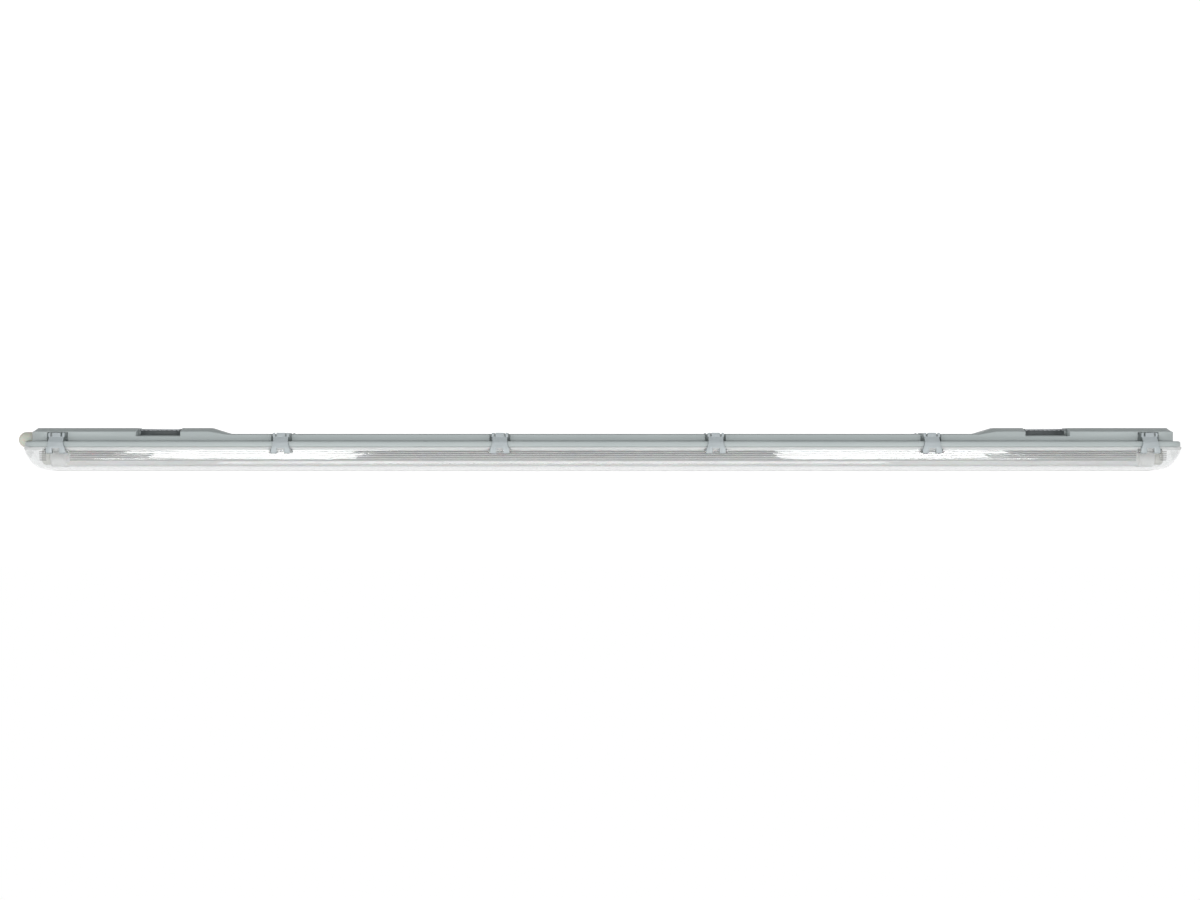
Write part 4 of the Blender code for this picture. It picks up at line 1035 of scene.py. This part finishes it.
@dataclass
class Inside(Assembly):
    """The inner parts that keep their CAD nodes and get their finishes.

    Attributes:
        finishes: The finish of each node.
    """

    finishes: dict[str, Finish] = field(default_factory=lambda: {
        "gasket": SEAL_FOAM, "gear_tray": WHITE_COAT, "terminal_block": BLOCK_NYLON,
        "live_wire": BROWN_SLEEVE, "neutral_wire": BLUE_SLEEVE, "earth_wire": GREEN_SLEEVE,
        "lamp_pins_left": BRASS, "lamp_pins_right": BRASS, "rotor_left": ROTOR_WHITE,
        "rotor_right": ROTOR_WHITE})

    def build(self) -> None:
        """Dress each node."""
        for node, finish in self.finishes.items():
            self.paint.dress(frame["nodes"][node], finish)
            LOG.info("%s keeps its CAD form", node)


@dataclass(frozen=True)
class Softbox:
    """An area light that faces the fixture.

    Attributes:
        name: Its name.
        place: Where its middle stands.
        size: Its width and height.
        power: Its power.
        aim_level: Height of the point that it faces.
        roll: Its turn about its own axis, in degrees.
        aim_share: Share of its place along the fixture at which it aims.
    """

    name: str
    place: Triple
    size: Pair
    power: float
    aim_level: float
    roll: float = 0
    aim_share: float = 0.8

    def build(self) -> None:
        """Add the light, turned to the fixture and hidden from the camera."""
        clear()
        bpy.ops.object.light_add(type="AREA", location=self.place)
        light = bpy.context.object
        light.name = self.name
        light.data.shape, light.data.energy = "RECTANGLE", self.power
        light.data.size, light.data.size_y = self.size
        target = Vector((self.place[0] * self.aim_share, 0, self.aim_level))
        light.rotation_euler = (target - Vector(self.place)).to_track_quat("-Z", "Y").to_euler()
        light.rotation_euler.rotate_axis("Z", math.radians(self.roll))
        light.visible_camera = False


@dataclass
class Studio:
    """A plain pale floor, three softboxes, a pale world and the camera.

    Attributes:
        floor_level: Height of the floor.
        floor_size: Length of its sides.
        floor_shade: Its colour where light falls on it, as sRGB hex.
        floor_glow: Strength of the white that is seen for it.
        floor_share: Share of that white. The rest still takes the shadow.
        softboxes: Two upright ones that the diffuser mirrors, and a wide low one.
        world_level: Strength of the world on matt surfaces.
        zenith: Share of it that is left overhead.
        zenith_from: Upward parts of a direction between which it falls.
        camera_side: Share of it that is left behind the camera in mirrored and refracted light.
        camera_side_from: Parts of a direction along Y between which it falls.
        lens: Focal length in millimetres.
        sensor: Sensor width in millimetres.
        photo_width: Width of the photograph in pixels.
        shift_pixels: How far the camera's axis lies left of its middle, in pixels.
        camera_place: Where the camera stands.
    """

    floor_level: float = -2.2
    floor_size: float = 60
    floor_shade: str = "FBFBFA"
    floor_glow: float = 1.04
    floor_share: float = 0.93
    softboxes: tuple[Softbox, ...] = (
        Softbox("softbox_left", (-0.934, -2.4, -0.5), (0.61, 0.52), 11.0, -0.5, -10),
        Softbox("softbox_right", (0.879, -2.4, -0.5), (0.61, 0.52), 11.0, -0.5, 10),
        Softbox("softbox_low", (-0.07, -1.9, -1.7), (2.0, 0.8), 13.0, 0))
    world_level: float = 1.15
    zenith: float = 0.22
    zenith_from: Pair = (0.3, 0.75)
    camera_side: float = 0.32
    camera_side_from: Pair = (-0.2, -0.9)
    lens: float = 51.95
    sensor: float = 36
    photo_width: int = 1200
    shift_pixels: int = 50
    camera_place: Triple = (-71.4 * MM, -2364 * MM, -29.9 * MM)

    def floor(self) -> None:
        """Lay a wide pale floor, seen as white and still taking the shadow."""
        clear()
        bpy.ops.mesh.primitive_plane_add(size=self.floor_size, location=(0, 0, self.floor_level))
        floor = bpy.context.object
        floor.name = "studio_floor"
        material = bpy.data.materials.new("studio_floor_paint")
        material.use_nodes = True
        tree = material.node_tree
        tree.nodes.clear()
        rays = add_node(tree, "ShaderNodeLightPath")
        seen = rays.outputs["Is Camera Ray"]
        for kind in ("Is Glossy Ray", "Is Transmission Ray"):
            seen = add_node(tree, "ShaderNodeMath", {"operation": "ADD", "use_clamp": True}, None,
                            {0: seen, 1: rays.outputs[kind]}).outputs[0]
        share = add_node(tree, "ShaderNodeMath", {"operation": "MULTIPLY"}, {1: self.floor_share}, {0: seen})
        matt = add_node(tree, "ShaderNodeBsdfDiffuse", None, {"Color": linear(self.floor_shade)})
        glow = add_node(tree, "ShaderNodeEmission", None, {"Color": WHITE, "Strength": self.floor_glow})
        mixed = add_node(tree, "ShaderNodeMixShader", None, None,
                         {0: share.outputs[0], 1: matt.outputs[0], 2: glow.outputs[0]})
        add_node(tree, "ShaderNodeOutputMaterial", None, None, {"Surface": mixed.outputs[0]})
        floor.data.materials.append(material)

    def world(self) -> None:
        """Make the world white to the camera, dim overhead, and in mirrored light dim behind the camera."""
        world = bpy.data.worlds.new("studio_world")
        bpy.context.scene.world = world
        world.use_nodes = True
        tree = world.node_tree
        tree.nodes.clear()
        where = add_node(tree, "ShaderNodeTexCoord").outputs["Generated"]
        way = add_node(tree, "ShaderNodeSeparateXYZ", None, None, {"Vector": where})
        start, full = self.zenith_from
        above = add_node(tree, "ShaderNodeMapRange", {"interpolation_type": "SMOOTHSTEP"},
                         {"From Min": start, "From Max": full, "To Min": 1.0, "To Max": self.zenith},
                         {"Value": way.outputs["Z"]})
        rays = add_node(tree, "ShaderNodeLightPath")
        mirror = add_node(tree, "ShaderNodeMath", {"operation": "ADD", "use_clamp": True}, None,
                          {0: rays.outputs["Is Glossy Ray"], 1: rays.outputs["Is Transmission Ray"]})
        dim = add_node(tree, "ShaderNodeMapRange", None, {"To Min": 1.0, "To Max": self.camera_side},
                       {"Value": mirror.outputs[0]})
        start, full = self.camera_side_from
        behind = add_node(tree, "ShaderNodeMapRange", {"interpolation_type": "SMOOTHSTEP"},
                          {"From Min": start, "From Max": full, "To Min": 1.0},
                          {"Value": way.outputs["Y"], "To Max": dim.outputs["Result"]})
        level = add_node(tree, "ShaderNodeMapRange", None, {"To Min": self.world_level, "To Max": 1.0},
                         {"Value": mirror.outputs[0]})
        dimmed = level.outputs["Result"]
        for part in (above, behind):
            dimmed = add_node(tree, "ShaderNodeMath", {"operation": "MULTIPLY"}, None,
                              {0: dimmed, 1: part.outputs["Result"]}).outputs[0]
        strength = add_node(tree, "ShaderNodeMath", {"operation": "MAXIMUM"}, None,
                            {0: dimmed, 1: rays.outputs["Is Camera Ray"]})
        back = add_node(tree, "ShaderNodeBackground", None, {"Color": WHITE},
                        {"Strength": strength.outputs[0]})
        add_node(tree, "ShaderNodeOutputWorld", None, None, {"Surface": back.outputs[0]})

    def camera(self) -> None:
        """Set the camera level with the flange and a little left of the middle, as in the photo."""
        data = bpy.data.cameras.new("camera")
        data.sensor_width, data.lens = self.sensor, self.lens
        data.shift_x = self.shift_pixels / self.photo_width
        camera = bpy.data.objects.new("camera", data)
        camera.location = self.camera_place
        camera.rotation_euler = (math.pi / 2, 0, 0)
        bpy.context.scene.collection.objects.link(camera)
        bpy.context.scene.camera = camera

    def build(self) -> None:
        """Set up the floor, world, softboxes and camera."""
        bpy.context.scene.view_settings.view_transform = "Standard"
        self.floor()
        self.world()
        for softbox in self.softboxes:
            softbox.build()
        self.camera()


def main() -> None:
    """Build every sub-assembly in order, then the studio."""
    logging.basicConfig(level=logging.INFO, format="%(message)s")
    paint = Paint()
    Body(paint).build()
    Grommet(paint).build()
    for number in range(1, TRAY_SCREWS + 1):
        Screw(paint, f"tray_pan_screw_{number}", f"tray_screw_{number}").build()
    Screw(paint, "earth_pan_screw", "earth_screw").build()
    Lamp(paint).build()
    Diffuser(paint).build()
    Clips(paint).build()
    Inside(paint).build()
    Studio().build()


if __name__ == "__main__":
    main()
